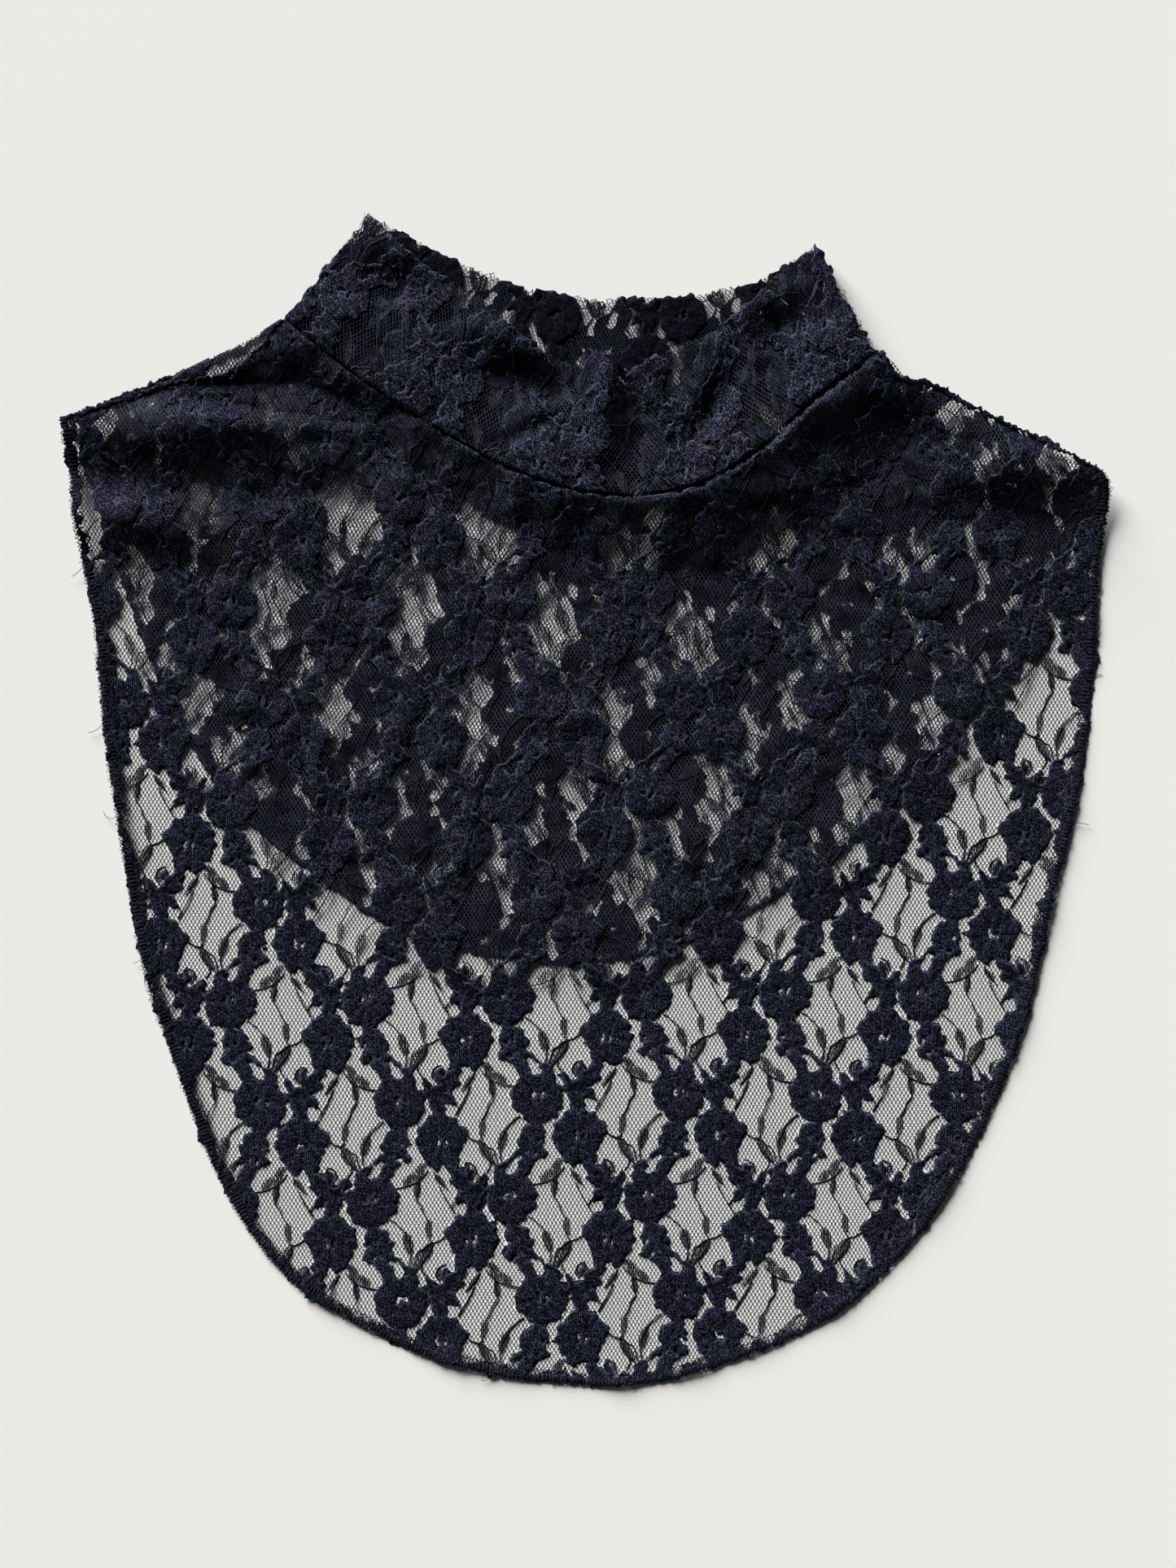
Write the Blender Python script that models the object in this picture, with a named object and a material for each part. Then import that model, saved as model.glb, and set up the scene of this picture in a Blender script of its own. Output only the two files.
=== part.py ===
"""A lace dickey lying flat, front up: a front panel, a shorter back panel and a folded mock neck collar.

The tables are in millimetres and the solids in metres. Seen from above, X runs to the right, Y towards
the collar, and Z up from the table. The origin is on the table, below the middle of the garment's box.
"""
import bmesh
import bpy
import numpy as np
from mathutils import Vector
from mathutils.geometry import delaunay_2d_cdt

MM = 0.001
COLLECTION = "lace_dickey"

# Cloth and clearances, in millimetres
PANEL_WALL = 1.2
COLLAR_WALL = 1.8
GAP = 0.3
BACK_TOP = PANEL_WALL
FRONT_LEVEL = BACK_TOP + GAP
COLLAR_FRONT_LEVEL = COLLAR_WALL + GAP
MOST_LIFT = 3.6

# How finely the surfaces are divided, in millimetres
FRONT_SPACING = 8.0
BACK_SPACING = 12.0
EDGE_STEP = 7.0
SEAM_STEP = 5.5
COLLAR_ROWS = 8
FINE_STEPS = 40

# The front panel leaves the back panel's edge and comes down to the table over this distance
DROP_START = 4.0
DROP_END = 13.0

# Corners of the garment as it lies: x, y
LEFT_SHOULDER = (-179.0, 130.0)
RIGHT_SHOULDER = (179.0, 109.5)
LEFT_NECK = (-103.5, 163.5)
RIGHT_NECK = (100.0, 152.0)
LEFT_TIP = (-74.0, 201.3)
RIGHT_TIP = (79.0, 189.5)

# Side and hem of the front panel, from the left shoulder round to the right one: x, y
FRONT_HEM = (
    LEFT_SHOULDER,
    (-174.5, 92.0),
    (-168.5, 58.0),
    (-165.5, 25.0),
    (-158.0, -25.0),
    (-151.5, -60.0),
    (-140.0, -94.0),
    (-128.0, -126.0),
    (-114.0, -151.0),
    (-98.5, -168.5),
    (-79.0, -180.5),
    (-52.0, -193.0),
    (-15.0, -200.5),
    (21.0, -201.3),
    (50.0, -193.5),
    (87.0, -176.5),
    (113.0, -151.5),
    (138.0, -110.0),
    (151.0, -76.0),
    (159.0, -42.0),
    (167.0, -8.0),
    (174.5, 42.0),
    (177.0, 88.0),
    RIGHT_SHOULDER,
)

# Side and hem of the back panel, which ends higher: x, y
BACK_HEM = (
    (-178.0, 128.5),
    (-169.5, 105.0),
    (-160.5, 77.0),
    (-145.0, 36.0),
    (-122.0, -2.0),
    (-92.0, -27.5),
    (-62.0, -47.0),
    (-28.0, -55.0),
    (8.0, -56.0),
    (37.0, -49.0),
    (66.0, -33.5),
    (107.0, -3.0),
    (134.0, 30.0),
    (155.0, 60.0),
    (169.0, 93.0),
    (178.0, 108.5),
)

# Shoulder edges, from each shoulder tip to the neck: x, y
LEFT_SHOULDER_LINE = (
    LEFT_SHOULDER,
    (-149.0, 142.5),
    (-125.5, 152.0),
    LEFT_NECK,
)
RIGHT_SHOULDER_LINE = (
    RIGHT_SHOULDER,
    (150.0, 125.5),
    (131.0, 134.5),
    (118.0, 141.5),
    (106.0, 143.5),
    RIGHT_NECK,
)

# Seams between each panel and the collar, from the left side of the neck to the right: x, y
FRONT_SEAM = (
    LEFT_NECK,
    (-79.0, 144.0),
    (-51.5, 126.0),
    (-29.5, 113.5),
    (-7.0, 105.0),
    (16.0, 102.5),
    (38.0, 106.0),
    (58.5, 118.0),
    (79.0, 136.0),
    RIGHT_NECK,
)
BACK_SEAM = (
    LEFT_NECK,
    (-78.0, 147.5),
    (-42.0, 130.0),
    (0.0, 123.0),
    (44.0, 128.0),
    (78.0, 141.5),
    RIGHT_NECK,
)

# Folded top edges of the collar, from its left tip to its right one: x, y
COLLAR_FRONT_TOP = (
    LEFT_TIP,
    (-57.5, 184.5),
    (-33.5, 168.5),
    (-12.0, 151.0),
    (-5.0, 148.5),
    (2.0, 152.5),
    (8.5, 149.5),
    (14.0, 146.5),
    (22.0, 151.0),
    (38.0, 157.0),
    (52.0, 166.0),
    (64.0, 178.0),
    RIGHT_TIP,
)
COLLAR_BACK_TOP = (
    LEFT_TIP,
    (-56.5, 190.5),
    (-30.0, 178.5),
    (-3.5, 172.0),
    (24.0, 172.0),
    (44.0, 174.5),
    (62.0, 179.0),
    RIGHT_TIP,
)

# Ridges of the front panel's folds: start x, y, end x, y, half width, height
FRONT_RIDGES = (
    (-150.0, 139.0, -112.0, 134.0, 11.0, 3.4),
    (-112.0, 134.0, -84.0, 131.0, 12.0, 3.2),
    (-158.0, 93.0, -96.0, 92.0, 18.0, 1.4),
    (84.0, 132.0, 104.0, 145.0, 8.0, 3.0),
    (108.0, 139.0, 134.0, 128.0, 9.0, 3.0),
    (112.0, 110.0, 152.0, 106.0, 14.0, 1.9),
    (-60.0, 112.0, -20.0, 90.0, 14.0, 1.2),
    (60.0, 96.0, 104.0, 104.0, 15.0, 1.3),
)

# Ridges of the collar's front half, where its fullness stands up: the same columns
COLLAR_RIDGES = (
    (2.0, 153.0, 1.0, 116.0, 9.5, 3.6),
    (-38.0, 169.0, -24.0, 143.0, 12.0, 2.6),
    (-24.0, 143.0, -10.0, 122.0, 11.0, 2.2),
    (20.0, 150.0, 26.0, 122.0, 9.0, 2.3),
    (53.0, 166.0, 60.0, 136.0, 12.0, 2.2),
    (-88.0, 165.0, -56.0, 145.0, 14.0, 1.7),
    (74.0, 172.0, 88.0, 155.0, 12.0, 1.5),
)
COLLAR_FADE_AT_SEAM = 11.0
COLLAR_FADE_AT_SIDES = 12.0

# Colour and roughness of the navy lace
LACE_COLOUR = (0.010, 0.011, 0.020, 1.0)
LACE_ROUGHNESS = 0.9


def curve(points, step=None, count=None):
    """Evenly spaced points on a smooth curve through the given ones, with both ends."""
    points = np.array(points, dtype=float)
    knots = np.concatenate(([0.0], np.cumsum(np.hypot(*np.diff(points, axis=0).T))))
    slopes = np.gradient(points, knots, axis=0)
    fine = np.linspace(0.0, knots[-1], FINE_STEPS * len(points))
    span = np.clip(np.searchsorted(knots, fine, side="right") - 1, 0, len(knots) - 2)
    width = (knots[span + 1] - knots[span])[:, None]
    part = (fine - knots[span])[:, None] / width
    xy = (2 * part**3 - 3 * part**2 + 1) * points[span]
    xy += (part**3 - 2 * part**2 + part) * width * slopes[span]
    xy += (3 * part**2 - 2 * part**3) * points[span + 1]
    xy += (part**3 - part**2) * width * slopes[span + 1]
    run = np.concatenate(([0.0], np.cumsum(np.hypot(*np.diff(xy, axis=0).T))))
    count = count or max(2, round(run[-1] / step) + 1)
    even = np.linspace(0.0, run[-1], count)
    return np.column_stack([np.interp(even, run, xy[:, axis]) for axis in (0, 1)])


def closed_outline(hem, seam):
    """A panel's outline: down its left side, round the hem, up to the neck and along the seam."""
    right_line = curve(RIGHT_SHOULDER_LINE, EDGE_STEP)
    left_line = curve(LEFT_SHOULDER_LINE, EDGE_STEP)
    sides = (curve(hem, EDGE_STEP), right_line[1:], curve(seam, SEAM_STEP)[::-1][1:], left_line[::-1][1:-1])
    return np.vstack(sides)


def signed_distance(outline, points):
    """Distance of each point from a closed outline, positive inside it."""
    starts = outline
    ends = np.roll(outline, -1, axis=0)
    runs = ends - starts
    offsets = points[:, None, :] - starts[None, :, :]
    along = np.clip((offsets * runs).sum(2) / (runs**2).sum(1), 0.0, 1.0)
    away = np.hypot(*np.moveaxis(offsets - along[..., None] * runs, 2, 0)).min(1)
    x, y = points[:, 0:1], points[:, 1:2]
    crosses = (starts[:, 1] > y) != (ends[:, 1] > y)
    rise = np.where(runs[:, 1] == 0.0, 1.0, runs[:, 1])
    left_of = x < starts[:, 0] + runs[:, 0] * (y - starts[:, 1]) / rise
    inside = (crosses & left_of).sum(1) % 2 == 1
    return np.where(inside, away, -away)


def smooth_step(value):
    """0 below 0, 1 above 1, with a soft start and end between."""
    part = np.clip(value, 0.0, 1.0)
    return part * part * (3.0 - 2.0 * part)


def lift(points, ridges):
    """Height of the folds over the level that the cloth lies at."""
    total = np.zeros(len(points))
    for x0, y0, x1, y1, half_width, height in ridges:
        start = np.array((x0, y0))
        run = np.array((x1, y1)) - start
        along = np.clip((points - start) @ run / (run @ run), 0.0, 1.0)
        away = np.hypot(*(points - start - along[:, None] * run).T)
        total = np.maximum(total, height * (1.0 - smooth_step(away / half_width)))
    return np.minimum(total, MOST_LIFT)


def filled(outline, spacing):
    """Triangles over an outline, from its own points and staggered rows of points inside it."""
    low, high = outline.min(0), outline.max(0)
    pitch = spacing * 3**0.5 / 2
    rows = []
    for number, y in enumerate(np.arange(low[1], high[1], pitch)):
        shift = spacing / 2 if number % 2 else 0.0
        row = np.arange(low[0] + shift, high[0], spacing)
        rows.append(np.column_stack((row, np.full(len(row), y))))
    inner = np.vstack(rows)
    inner = inner[signed_distance(outline, inner) > 0.6 * spacing]
    points = [Vector(point) for point in np.vstack((outline, inner))]
    count = len(outline)
    edges = [(number, (number + 1) % count) for number in range(count)]
    verts, _, faces, _, _, _ = delaunay_2d_cdt(points, edges, [], 1, 1e-5)
    return np.array([tuple(vert) for vert in verts]), faces


def lace_material(name):
    """Matt navy lace."""
    material = bpy.data.materials.new(name)
    material.use_nodes = True
    shader = material.node_tree.nodes["Principled BSDF"]
    shader.inputs["Base Color"].default_value = LACE_COLOUR
    shader.inputs["Roughness"].default_value = LACE_ROUGHNESS
    return material


def cloth(name, points, heights, faces, wall, collection):
    """A cloth wall: a sheet at its underside's heights, raised straight up by the wall."""
    sheet = bmesh.new()
    verts = [sheet.verts.new((x * MM, y * MM, z * MM)) for (x, y), z in zip(points, heights)]
    for face in faces:
        sheet.faces.new([verts[corner] for corner in face])
    raised = bmesh.ops.extrude_face_region(sheet, geom=sheet.faces[:], use_keep_orig=True)
    tops = [item for item in raised["geom"] if isinstance(item, bmesh.types.BMVert)]
    bmesh.ops.translate(sheet, verts=tops, vec=(0.0, 0.0, wall * MM))
    bmesh.ops.recalc_face_normals(sheet, faces=sheet.faces[:])
    mesh = bpy.data.meshes.new(name)
    sheet.to_mesh(mesh)
    sheet.free()
    mesh.shade_smooth()
    mesh.set_sharp_from_angle(angle=np.radians(40))
    piece = bpy.data.objects.new(name, mesh)
    mesh.materials.append(lace_material(name + "_lace"))
    collection.objects.link(piece)
    return piece


def back_panel(collection):
    """The short back panel, flat on the table."""
    points, faces = filled(closed_outline(BACK_HEM, BACK_SEAM), BACK_SPACING)
    cloth("back_panel", points, np.zeros(len(points)), faces, PANEL_WALL, collection)


def front_panel(collection):
    """The long front panel: it lies on the back panel, and beyond that on the table."""
    points, faces = filled(closed_outline(FRONT_HEM, FRONT_SEAM), FRONT_SPACING)
    back_outline = closed_outline(BACK_HEM, FRONT_SEAM)
    outside = -signed_distance(back_outline, points)
    on_back = 1.0 - smooth_step((outside - DROP_START) / (DROP_END - DROP_START))
    heights = FRONT_LEVEL * on_back + lift(points, FRONT_RIDGES) * on_back
    cloth("front_panel", points, heights, faces, PANEL_WALL, collection)


def collar_half(name, seam, top, level, ridges, collection):
    """Half of the folded collar, a grid of columns that run up from the seam to the top edge."""
    lower = curve(seam, SEAM_STEP)
    along = np.gradient(lower, axis=0)
    along /= np.hypot(*along.T)[:, None]
    lower = lower + GAP * np.column_stack((-along[:, 1], along[:, 0]))
    upper = curve(top, count=len(lower))
    up = np.linspace(0.0, 1.0, COLLAR_ROWS + 1)[:, None, None]
    grid = lower + up * (upper - lower)
    rows, columns = grid.shape[:2]
    points = grid.reshape(-1, 2)
    from_seam = np.hypot(*np.moveaxis(grid - lower, 2, 0))
    across = np.hypot(*(lower[-1] - lower[0]))
    from_side = np.minimum(np.linspace(0.0, across, columns), np.linspace(across, 0.0, columns))
    fade = smooth_step(from_seam / COLLAR_FADE_AT_SEAM) * smooth_step(from_side / COLLAR_FADE_AT_SIDES)
    heights = level + lift(points, ridges) * fade.reshape(-1)
    faces = []
    for row in range(rows - 1):
        for column in range(columns - 1):
            corner = row * columns + column
            faces.append((corner, corner + 1, corner + columns + 1, corner + columns))
    cloth(name, points, heights, faces, COLLAR_WALL, collection)


def main():
    for item in list(bpy.data.objects):
        bpy.data.objects.remove(item, do_unlink=True)
    collection = bpy.data.collections.new(COLLECTION)
    bpy.context.scene.collection.children.link(collection)
    back_panel(collection)
    front_panel(collection)
    collar_half("collar_back", BACK_SEAM, COLLAR_BACK_TOP, 0.0, (), collection)
    collar_half("collar_front", FRONT_SEAM, COLLAR_FRONT_TOP, COLLAR_FRONT_LEVEL, COLLAR_RIDGES, collection)


main()
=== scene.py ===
"""The finish of a lace dickey that lies flat, front up: net, motifs, cords, seams and overlocked edges.

Sizes are in millimetres until a mesh is made. The lace is drawn on its own flat cloth, by a repeat that
is charted here from flowers, leaves and cords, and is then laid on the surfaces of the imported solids.
"""
import math
import bpy
import numpy as np
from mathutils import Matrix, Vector
from mathutils.bvhtree import BVHTree


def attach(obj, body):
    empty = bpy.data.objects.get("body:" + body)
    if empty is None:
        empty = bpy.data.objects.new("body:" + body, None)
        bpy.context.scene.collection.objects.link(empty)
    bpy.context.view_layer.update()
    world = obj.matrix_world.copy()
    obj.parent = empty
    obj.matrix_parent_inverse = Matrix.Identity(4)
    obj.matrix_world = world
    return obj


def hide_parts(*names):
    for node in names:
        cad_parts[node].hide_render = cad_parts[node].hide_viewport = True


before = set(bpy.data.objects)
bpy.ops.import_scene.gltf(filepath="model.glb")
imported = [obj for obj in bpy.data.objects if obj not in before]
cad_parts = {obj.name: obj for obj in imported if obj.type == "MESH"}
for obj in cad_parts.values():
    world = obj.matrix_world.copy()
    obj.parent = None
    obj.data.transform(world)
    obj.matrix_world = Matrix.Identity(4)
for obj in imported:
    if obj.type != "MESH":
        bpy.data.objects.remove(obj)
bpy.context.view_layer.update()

MM = 0.001

# The shaders' map of the cloth: one unit is this many millimetres
CLOTH_MAP = 100.0

# The picture: its frame in pixels, its scale, and the pixel over the garment's origin
PICTURE = (1445, 1927)
PICTURE_MM_PER_PIXEL = 0.28
ORIGIN_PIXEL = (720.0, 980.0)
CAMERA_HEIGHT = 900.0

# Corners of the garment as it lies: x, y
LEFT_SHOULDER = (-179.0, 130.0)
RIGHT_SHOULDER = (176.4, 111.6)
LEFT_NECK = (-103.5, 163.5)
RIGHT_NECK = (100.0, 152.0)
LEFT_TIP = (-74.0, 201.3)
RIGHT_TIP = (79.0, 189.5)

# Spacing of the points of the panels' outlines
OUTLINE_STEP = 4.0

# Side and hem of the front panel, from the left shoulder round to the right one: x, y
FRONT_HEM = (
    LEFT_SHOULDER, (-174.5, 92), (-168.5, 58), (-165.5, 25), (-158, -25), (-151.5, -60), (-140, -94),
    (-128, -126), (-114, -151), (-98.5, -168.5), (-79, -180.5), (-52, -193), (-15, -200.5),
    (21, -201.3), (50, -193.5), (87, -176.5), (113, -151.5), (138, -110), (151, -76), (159, -42),
    (167, -8), (174.5, 42), (177, 88), (178.6, 99.5), (178.9, 106), RIGHT_SHOULDER,
)

# Side and hem of the back panel: x, y
BACK_HEM = (
    (-178, 128.5), (-169.5, 105), (-160.5, 77), (-145, 36), (-122, -2), (-92, -27.5), (-62, -47),
    (-28, -55), (8, -56), (37, -49), (66, -33.5), (107, -3), (134, 30), (155, 60), (169, 93),
    (178, 108.5),
)

# Shoulder edges, from each shoulder tip to the neck: x, y
LEFT_SHOULDER_LINE = (
    LEFT_SHOULDER, (-149, 142.5), (-125.5, 152), LEFT_NECK,
)
RIGHT_SHOULDER_LINE = (
    RIGHT_SHOULDER, (150, 125.5), (131, 134.5), (118, 141.5), (106, 143.5), RIGHT_NECK,
)

# Where the front ends short of the left shoulder's edge, below a strip of the back: x, y
LEFT_WELT = (
    LEFT_SHOULDER, (-166, 133.8), (-146, 141.1), (-138.5, 143.4), (-121, 146.2), (-115.5, 151),
    LEFT_NECK,
)

# Seams between each panel and the collar, from the left side of the neck to the right: x, y
FRONT_SEAM = (
    LEFT_NECK, (-79, 144), (-51.5, 126), (-29.5, 113.5), (-7, 105), (16, 102.5), (38, 106),
    (58.5, 118), (79, 136), RIGHT_NECK,
)
BACK_SEAM = (
    LEFT_NECK, (-78, 147.5), (-42, 130), (0, 123), (44, 128), (78, 141.5), RIGHT_NECK,
)

# Folded top edges of the collar, from its left tip to its right one: x, y
COLLAR_FRONT_TOP = (
    LEFT_TIP, (-57.5, 184.5), (-33.5, 168.5), (-12, 151), (-5, 148.5), (2, 152.5), (8.5, 149.5),
    (14, 146.5), (22, 151), (38, 157), (52, 166), (64, 178), RIGHT_TIP,
)
COLLAR_BACK_TOP = (
    LEFT_TIP, (-56.5, 190.5), (-30, 178.5), (-3.5, 172), (24, 172), (44, 174.5), (62, 179), RIGHT_TIP,
)

# The lace repeats over this width and height. Its lower half is its upper half, mirrored about this
# line beside the first flower and moved down by half the height.
REPEAT_WIDTH = 47.8
REPEAT_HEIGHT = 69.0
MIRROR_X = 4.55

# The charts' step, how much outlines are widened, how deep the splits between petals are, and a distance
# that counts as far from everything
CHART_STEP = 0.1
CHART_SWELL = 0.1
NOTCH = 0.7
FAR = 9.0

# Outlines of the upper half's large motifs: x, y
FIRST_FLOWER = (
    (-9.4, 2.7), (-8.2, 4.5), (-6.1, 4.9), (-6.5, 6.8), (-5.9, 9.2), (-4.9, 11.2), (-3.5, 11.4),
    (-2.7, 9.2), (-0.6, 7.7), (1.3, 8.2), (2.3, 9.6), (2.3, 12.4), (3.9, 13.4), (5.2, 11.4), (5.3, 7),
    (6.9, 4.8), (8.1, 3.4), (8.8, 1.4), (8.3, -0.5), (7.6, -1.4), (8.3, -3), (6.9, -4.3), (5.2, -5),
    (5.1, -6.4), (2.8, -7.5), (1.4, -8.8), (-1.4, -9.4), (-4.2, -7.9), (-5.6, -7.2), (-7, -7.2),
    (-7.3, -5), (-8.8, -3.7), (-9.1, -1.7), (-8.6, 0.4), (-9.5, 1.7),
)
SECOND_FLOWER = (
    (-20, -5.2), (-18.4, -5.9), (-17.2, -5.2), (-15, -4.4), (-12.4, -4.4), (-10, -5.1), (-9.2, -7),
    (-8.4, -8.4), (-6.3, -8.9), (-5.9, -10.6), (-6.3, -12), (-5.2, -13.4), (-5.4, -14.8),
    (-6.5, -15.8), (-6.8, -17.4), (-7.4, -19), (-9, -20.2), (-9, -21.8), (-10.8, -23.2),
    (-12.6, -24.6), (-13.8, -23), (-15.2, -21.8), (-16.8, -22.6), (-18.4, -24), (-20.2, -22.4),
    (-20.4, -19.4), (-20.6, -18), (-21.6, -16.2), (-22.8, -14), (-24.1, -12), (-23.6, -9.8),
    (-21.8, -9.2), (-20.4, -7.6),
)
FLORETS = (
    (-2.6, -8.6), (-2, -10.6), (-3.2, -12.4), (-3.6, -14.6), (-2.6, -16), (-1.2, -16.6), (-2.4, -18),
    (-4, -19), (-3.4, -20.3), (-1.2, -21.2), (0.6, -21.8), (2.2, -23.4), (3, -26), (5.2, -26),
    (5.4, -23.4), (4.8, -21), (6, -20), (8.2, -20.5), (10.4, -22.9), (11, -22.3), (8.8, -19.6),
    (7.2, -18.2), (5.4, -17.4), (6.2, -16.2), (7.1, -14.6), (5.8, -13.1), (4.9, -12.4), (5.3, -10.7),
    (3.9, -10.1), (2.2, -9.4), (0.8, -8.6),
)

# Where the petals of each flower meet: its middle x, y, then the angles of the splits in degrees. They all
# start and end at the same distances from the middle.
PETAL_SPLITS = (
    (-0.6, 0.3, 141, 94, 52, -10, -49, -106, -143, 169),
    (-14.7, -13.4, 132, 109, 58, 14, -15, -50, -86, -132, -171),
    (1.6, -16.4, 150, 95, 40, -5, -45, -120),
)
SPLIT_START = 1.5
SPLIT_END = 10.5

# Solid leaves of the upper half: base x, y, tip x, y, half width
LEAVES = (
    (-15, 6, -23.2, 11.4, 1.7), (-14.5, 4.6, -22.4, 6.6, 1.5), (-14.2, 4.6, -20.1, -1.2, 1.9),
    (-14.2, 6.4, -16, 12.6, 1.1), (-11.8, 3.6, -8.9, 8.9, 1.25), (-14.6, 3.2, -8.8, 2.5, 1.3),
    (-11.6, 3.4, -15.8, -6, 2.4), (-17.4, 4.4, -10.8, 3.4, 1.9), (10.2, -22.8, 15.2, -25, 1.3),
)

# Sheer leaves of the upper half, of upright ribs with gaps between: base x, y, tip x, y, half width
SHEER_LEAVES = (
    (10, 5.2, 14.4, 9.8, 1.5), (15.4, 6.4, 14.2, 0.4, 1.35), (18.6, -6.4, 18.9, -14, 1.4),
    (10.9, -10.6, 12.8, -19.2, 1.7), (20.2, -15, 14.6, -23.6, 1.7), (-7.6, -22.4, -5.4, -29.4, 1.3),
    (-9.4, -21.4, -4.6, -24.8, 1.2), (22.3, -23.2, 22.9, -28.2, 1.3), (20.8, 8.8, 24.8, 4, 1.2),
)
RIB_SPACING = 0.62
RIB_WIDTH = 0.38
RIB_POINTS = 4
RIB_HEIGHT = 0.1

# Small holes in the upper half's motifs: x, y, half width, half height
HOLES = (
    (-2.8, 0.5, 0.8, 1), (-1.8, 1.7, 0.5, 0.7), (0.6, 1.2, 0.7, 1.6), (-1.1, -1.4, 0.45, 0.55),
    (-16.1, -14.3, 0.7, 1.5), (-13, -12.4, 0.6, 1.1), (-13.5, -14.6, 0.7, 1.3),
    (1.7, -14.2, 0.6, 0.6), (-1.1, -14.7, 0.85, 0.9), (0.5, -19.6, 0.9, 0.9), (3.1, -18.7, 0.5, 0.6),
    (-17, 3.2, 0.5, 0.5), (-13.6, 8.2, 0.8, 1),
)

# Cords of the upper half, each a smooth line: x, y of its points
CORDS = (
    ((6.9, 4.3), (10, 4.7), (13, 5.6), (16, 7.3), (18.6, 10.4)),
    ((15.4, 6.6), (15.2, 3.4), (14.4, 0.6), (15.5, -1.2), (16.6, -3.2), (17.4, -5.6), (18.6, -7)),
    ((18.9, -13.6), (19.9, -14.6), (22, -14.2), (24.2, -12.8)),
    ((19.9, -14.6), (18.4, -15.4), (16.8, -16.8), (15, -18), (14.4, -20.4), (13.4, -23.2)),
    ((20.1, -15.2), (18.8, -18.2), (16.4, -21.4), (14.2, -23.8)),
    ((5.3, -6.3), (7.6, -7.8), (9.6, -9.7), (10.8, -11.6), (12.6, -15.6), (12.8, -19.4), (12.2, -22.6)),
    ((-25.5, 4.8), (-23, -0.4), (-21.2, -3.4), (-20, -5.2)),
    ((-19.8, -0.6), (-21.2, -2.6), (-20.2, -5.2)),
    ((-8.9, 8.9), (-7.6, 10.6), (-7.2, 12.6)),
    ((20.6, 9.6), (22.4, 6.6), (25.4, 3.2)),
    ((8.6, -20.2), (10.8, -22.4), (13.4, -24)),
    ((21.2, -26.2), (22.2, -23.2), (25, -21.8)),
)
CORD_POINTS = 12
CORD_RADIUS = 0.27
CORD_HEIGHT = 0.12

# Cords, stitches and hairs are tubes with this many sides; cords and ribs end this far inside their cloth
TUBE_SIDES = 3
THREAD_MARGIN = 0.3

# The net: six-sided cells in staggered rows, with thick slanted walls and thin threads between them; its
# jitter, how far it goes on under the motifs, and how far inside its cloth it ends
NET_PITCH = 1.36
NET_ROW = 1.12
NET_THREAD = 0.48
FINE_THREAD = 0.21
DOUBLED_THREAD = 0.33
NET_WALL = 1.4
NET_LINK = 0.5
NET_SLANT = 0.15
NET_JITTER = 0.05
NET_TUCK = 0.3
NET_MARGIN = 0.2

# The motifs' surfaces, as heights over the net, and the spacing of the points of their lower faces
RAISE = 0.34
LOWER = -0.08
DOME = 0.16
DOME_REACH = 1.3
CREASE_DEPTH = 0.36
CREASE_WIDTH = 0.4
KNOBS = 0.06
SNAP = 0.3
SLOPE_STEP = 0.1
UNDER_SPACING = 2.4

# Edges: the spacing of a band's rings and of the line's points, how many points each way smooth the line's
# direction, how far inside the line its heights are read at least, and the lowest height over the table
EDGE_STEP = 0.6
EDGE_POINT_STEP = 0.5
EDGE_SOFT = 7
EDGE_WITHIN = 2.5
LOWEST_EDGE = 0.15

# The overlocked edges: a lumpy band, zigzag stitches round it, a needle line, and loose ends
BAND_SIDES = 8
BAND_INNER = 2.7
BACK_BAND_INNER = 0.8 * BAND_INNER
BAND_OUTER = -0.25
BAND_LEAST = 0.9
SEAM_INNER = 1.3
BAND_THICK = 0.6
STITCH_PITCH = 1.3
STITCH_RADIUS = 0.22
NEEDLE_PITCH = 2.0
NEEDLE_HEIGHT = 0.42
FRAY_SPACING = 2.4
LONG_HAIRS = 7
HAIR_RADIUS = 0.12

# The back's lace: how many degrees it is turned by, and where its pattern starts
BACK_TURN = 170.7
BACK_PATTERN_AT = (7.5, 23.0)

# How far cloth lies below its solid's upper face
PANEL_DEPTH = 0.65
LOWEST_NET = 0.12
COLLAR_OUTER_DEPTH = 0.55
COLLAR_INNER_DEPTH = 1.35
BACK_OUTER_LEVEL = 0.35
FOLD_LEVEL = 1.95
COLLAR_HEIGHT = 48.0
COLLAR_POINTS = 400

# How far each layer of the collar ends short of its sides, and the width of its bend there; and the
# widths of the bends at its fold and its seam
INNER_SIDE = (0.9, 1.0)
OUTER_SIDE = (0.0, 1.8)
FOLD_BEND = 0.9
SEAM_BEND = 0.8

# Creases over the solids' own form, ridges up and troughs down: start x, y, end x, y, half width, height
FRONT_CREASES = (
    (-146, 143, -96, 155, 11, 4.4), (-144, 131, -100, 126, 9, 3.2), (-206, 131, -88, 120, 17, 6.6),
    (-166, 105, -94, 103, 6, -1.6), (-150, 140, -64, 132, 9, -5.4), (-184, 98, -134, 95, 14, 5.4),
    (-167, 81, -138, 79, 6, -1), (-110, 98, -62, 101, 8, 1.2), (100, 140, 137, 129, 13, 3),
    (122, 120, 182, 110, 18, 8), (112, 97, 164, 93, 7, -1.6), (52, 104, 98, 112, 7, 1.4),
    (-54, 96, -26, 82, 9, 1.2), (10, 82, 44, 86, 8, 1.2), (-120, 76, -84, 62, 9, 1.1),
    (-66, 60, -30, 66, 9, 1), (18, 66, 58, 56, 10, 1), (84, 78, 122, 66, 9, 1.1),
    (-100, 24, -60, 12, 10, 0.8), (-20, 26, 30, 30, 10, 0.8), (56, 14, 96, 30, 10, 0.8),
)
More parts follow.
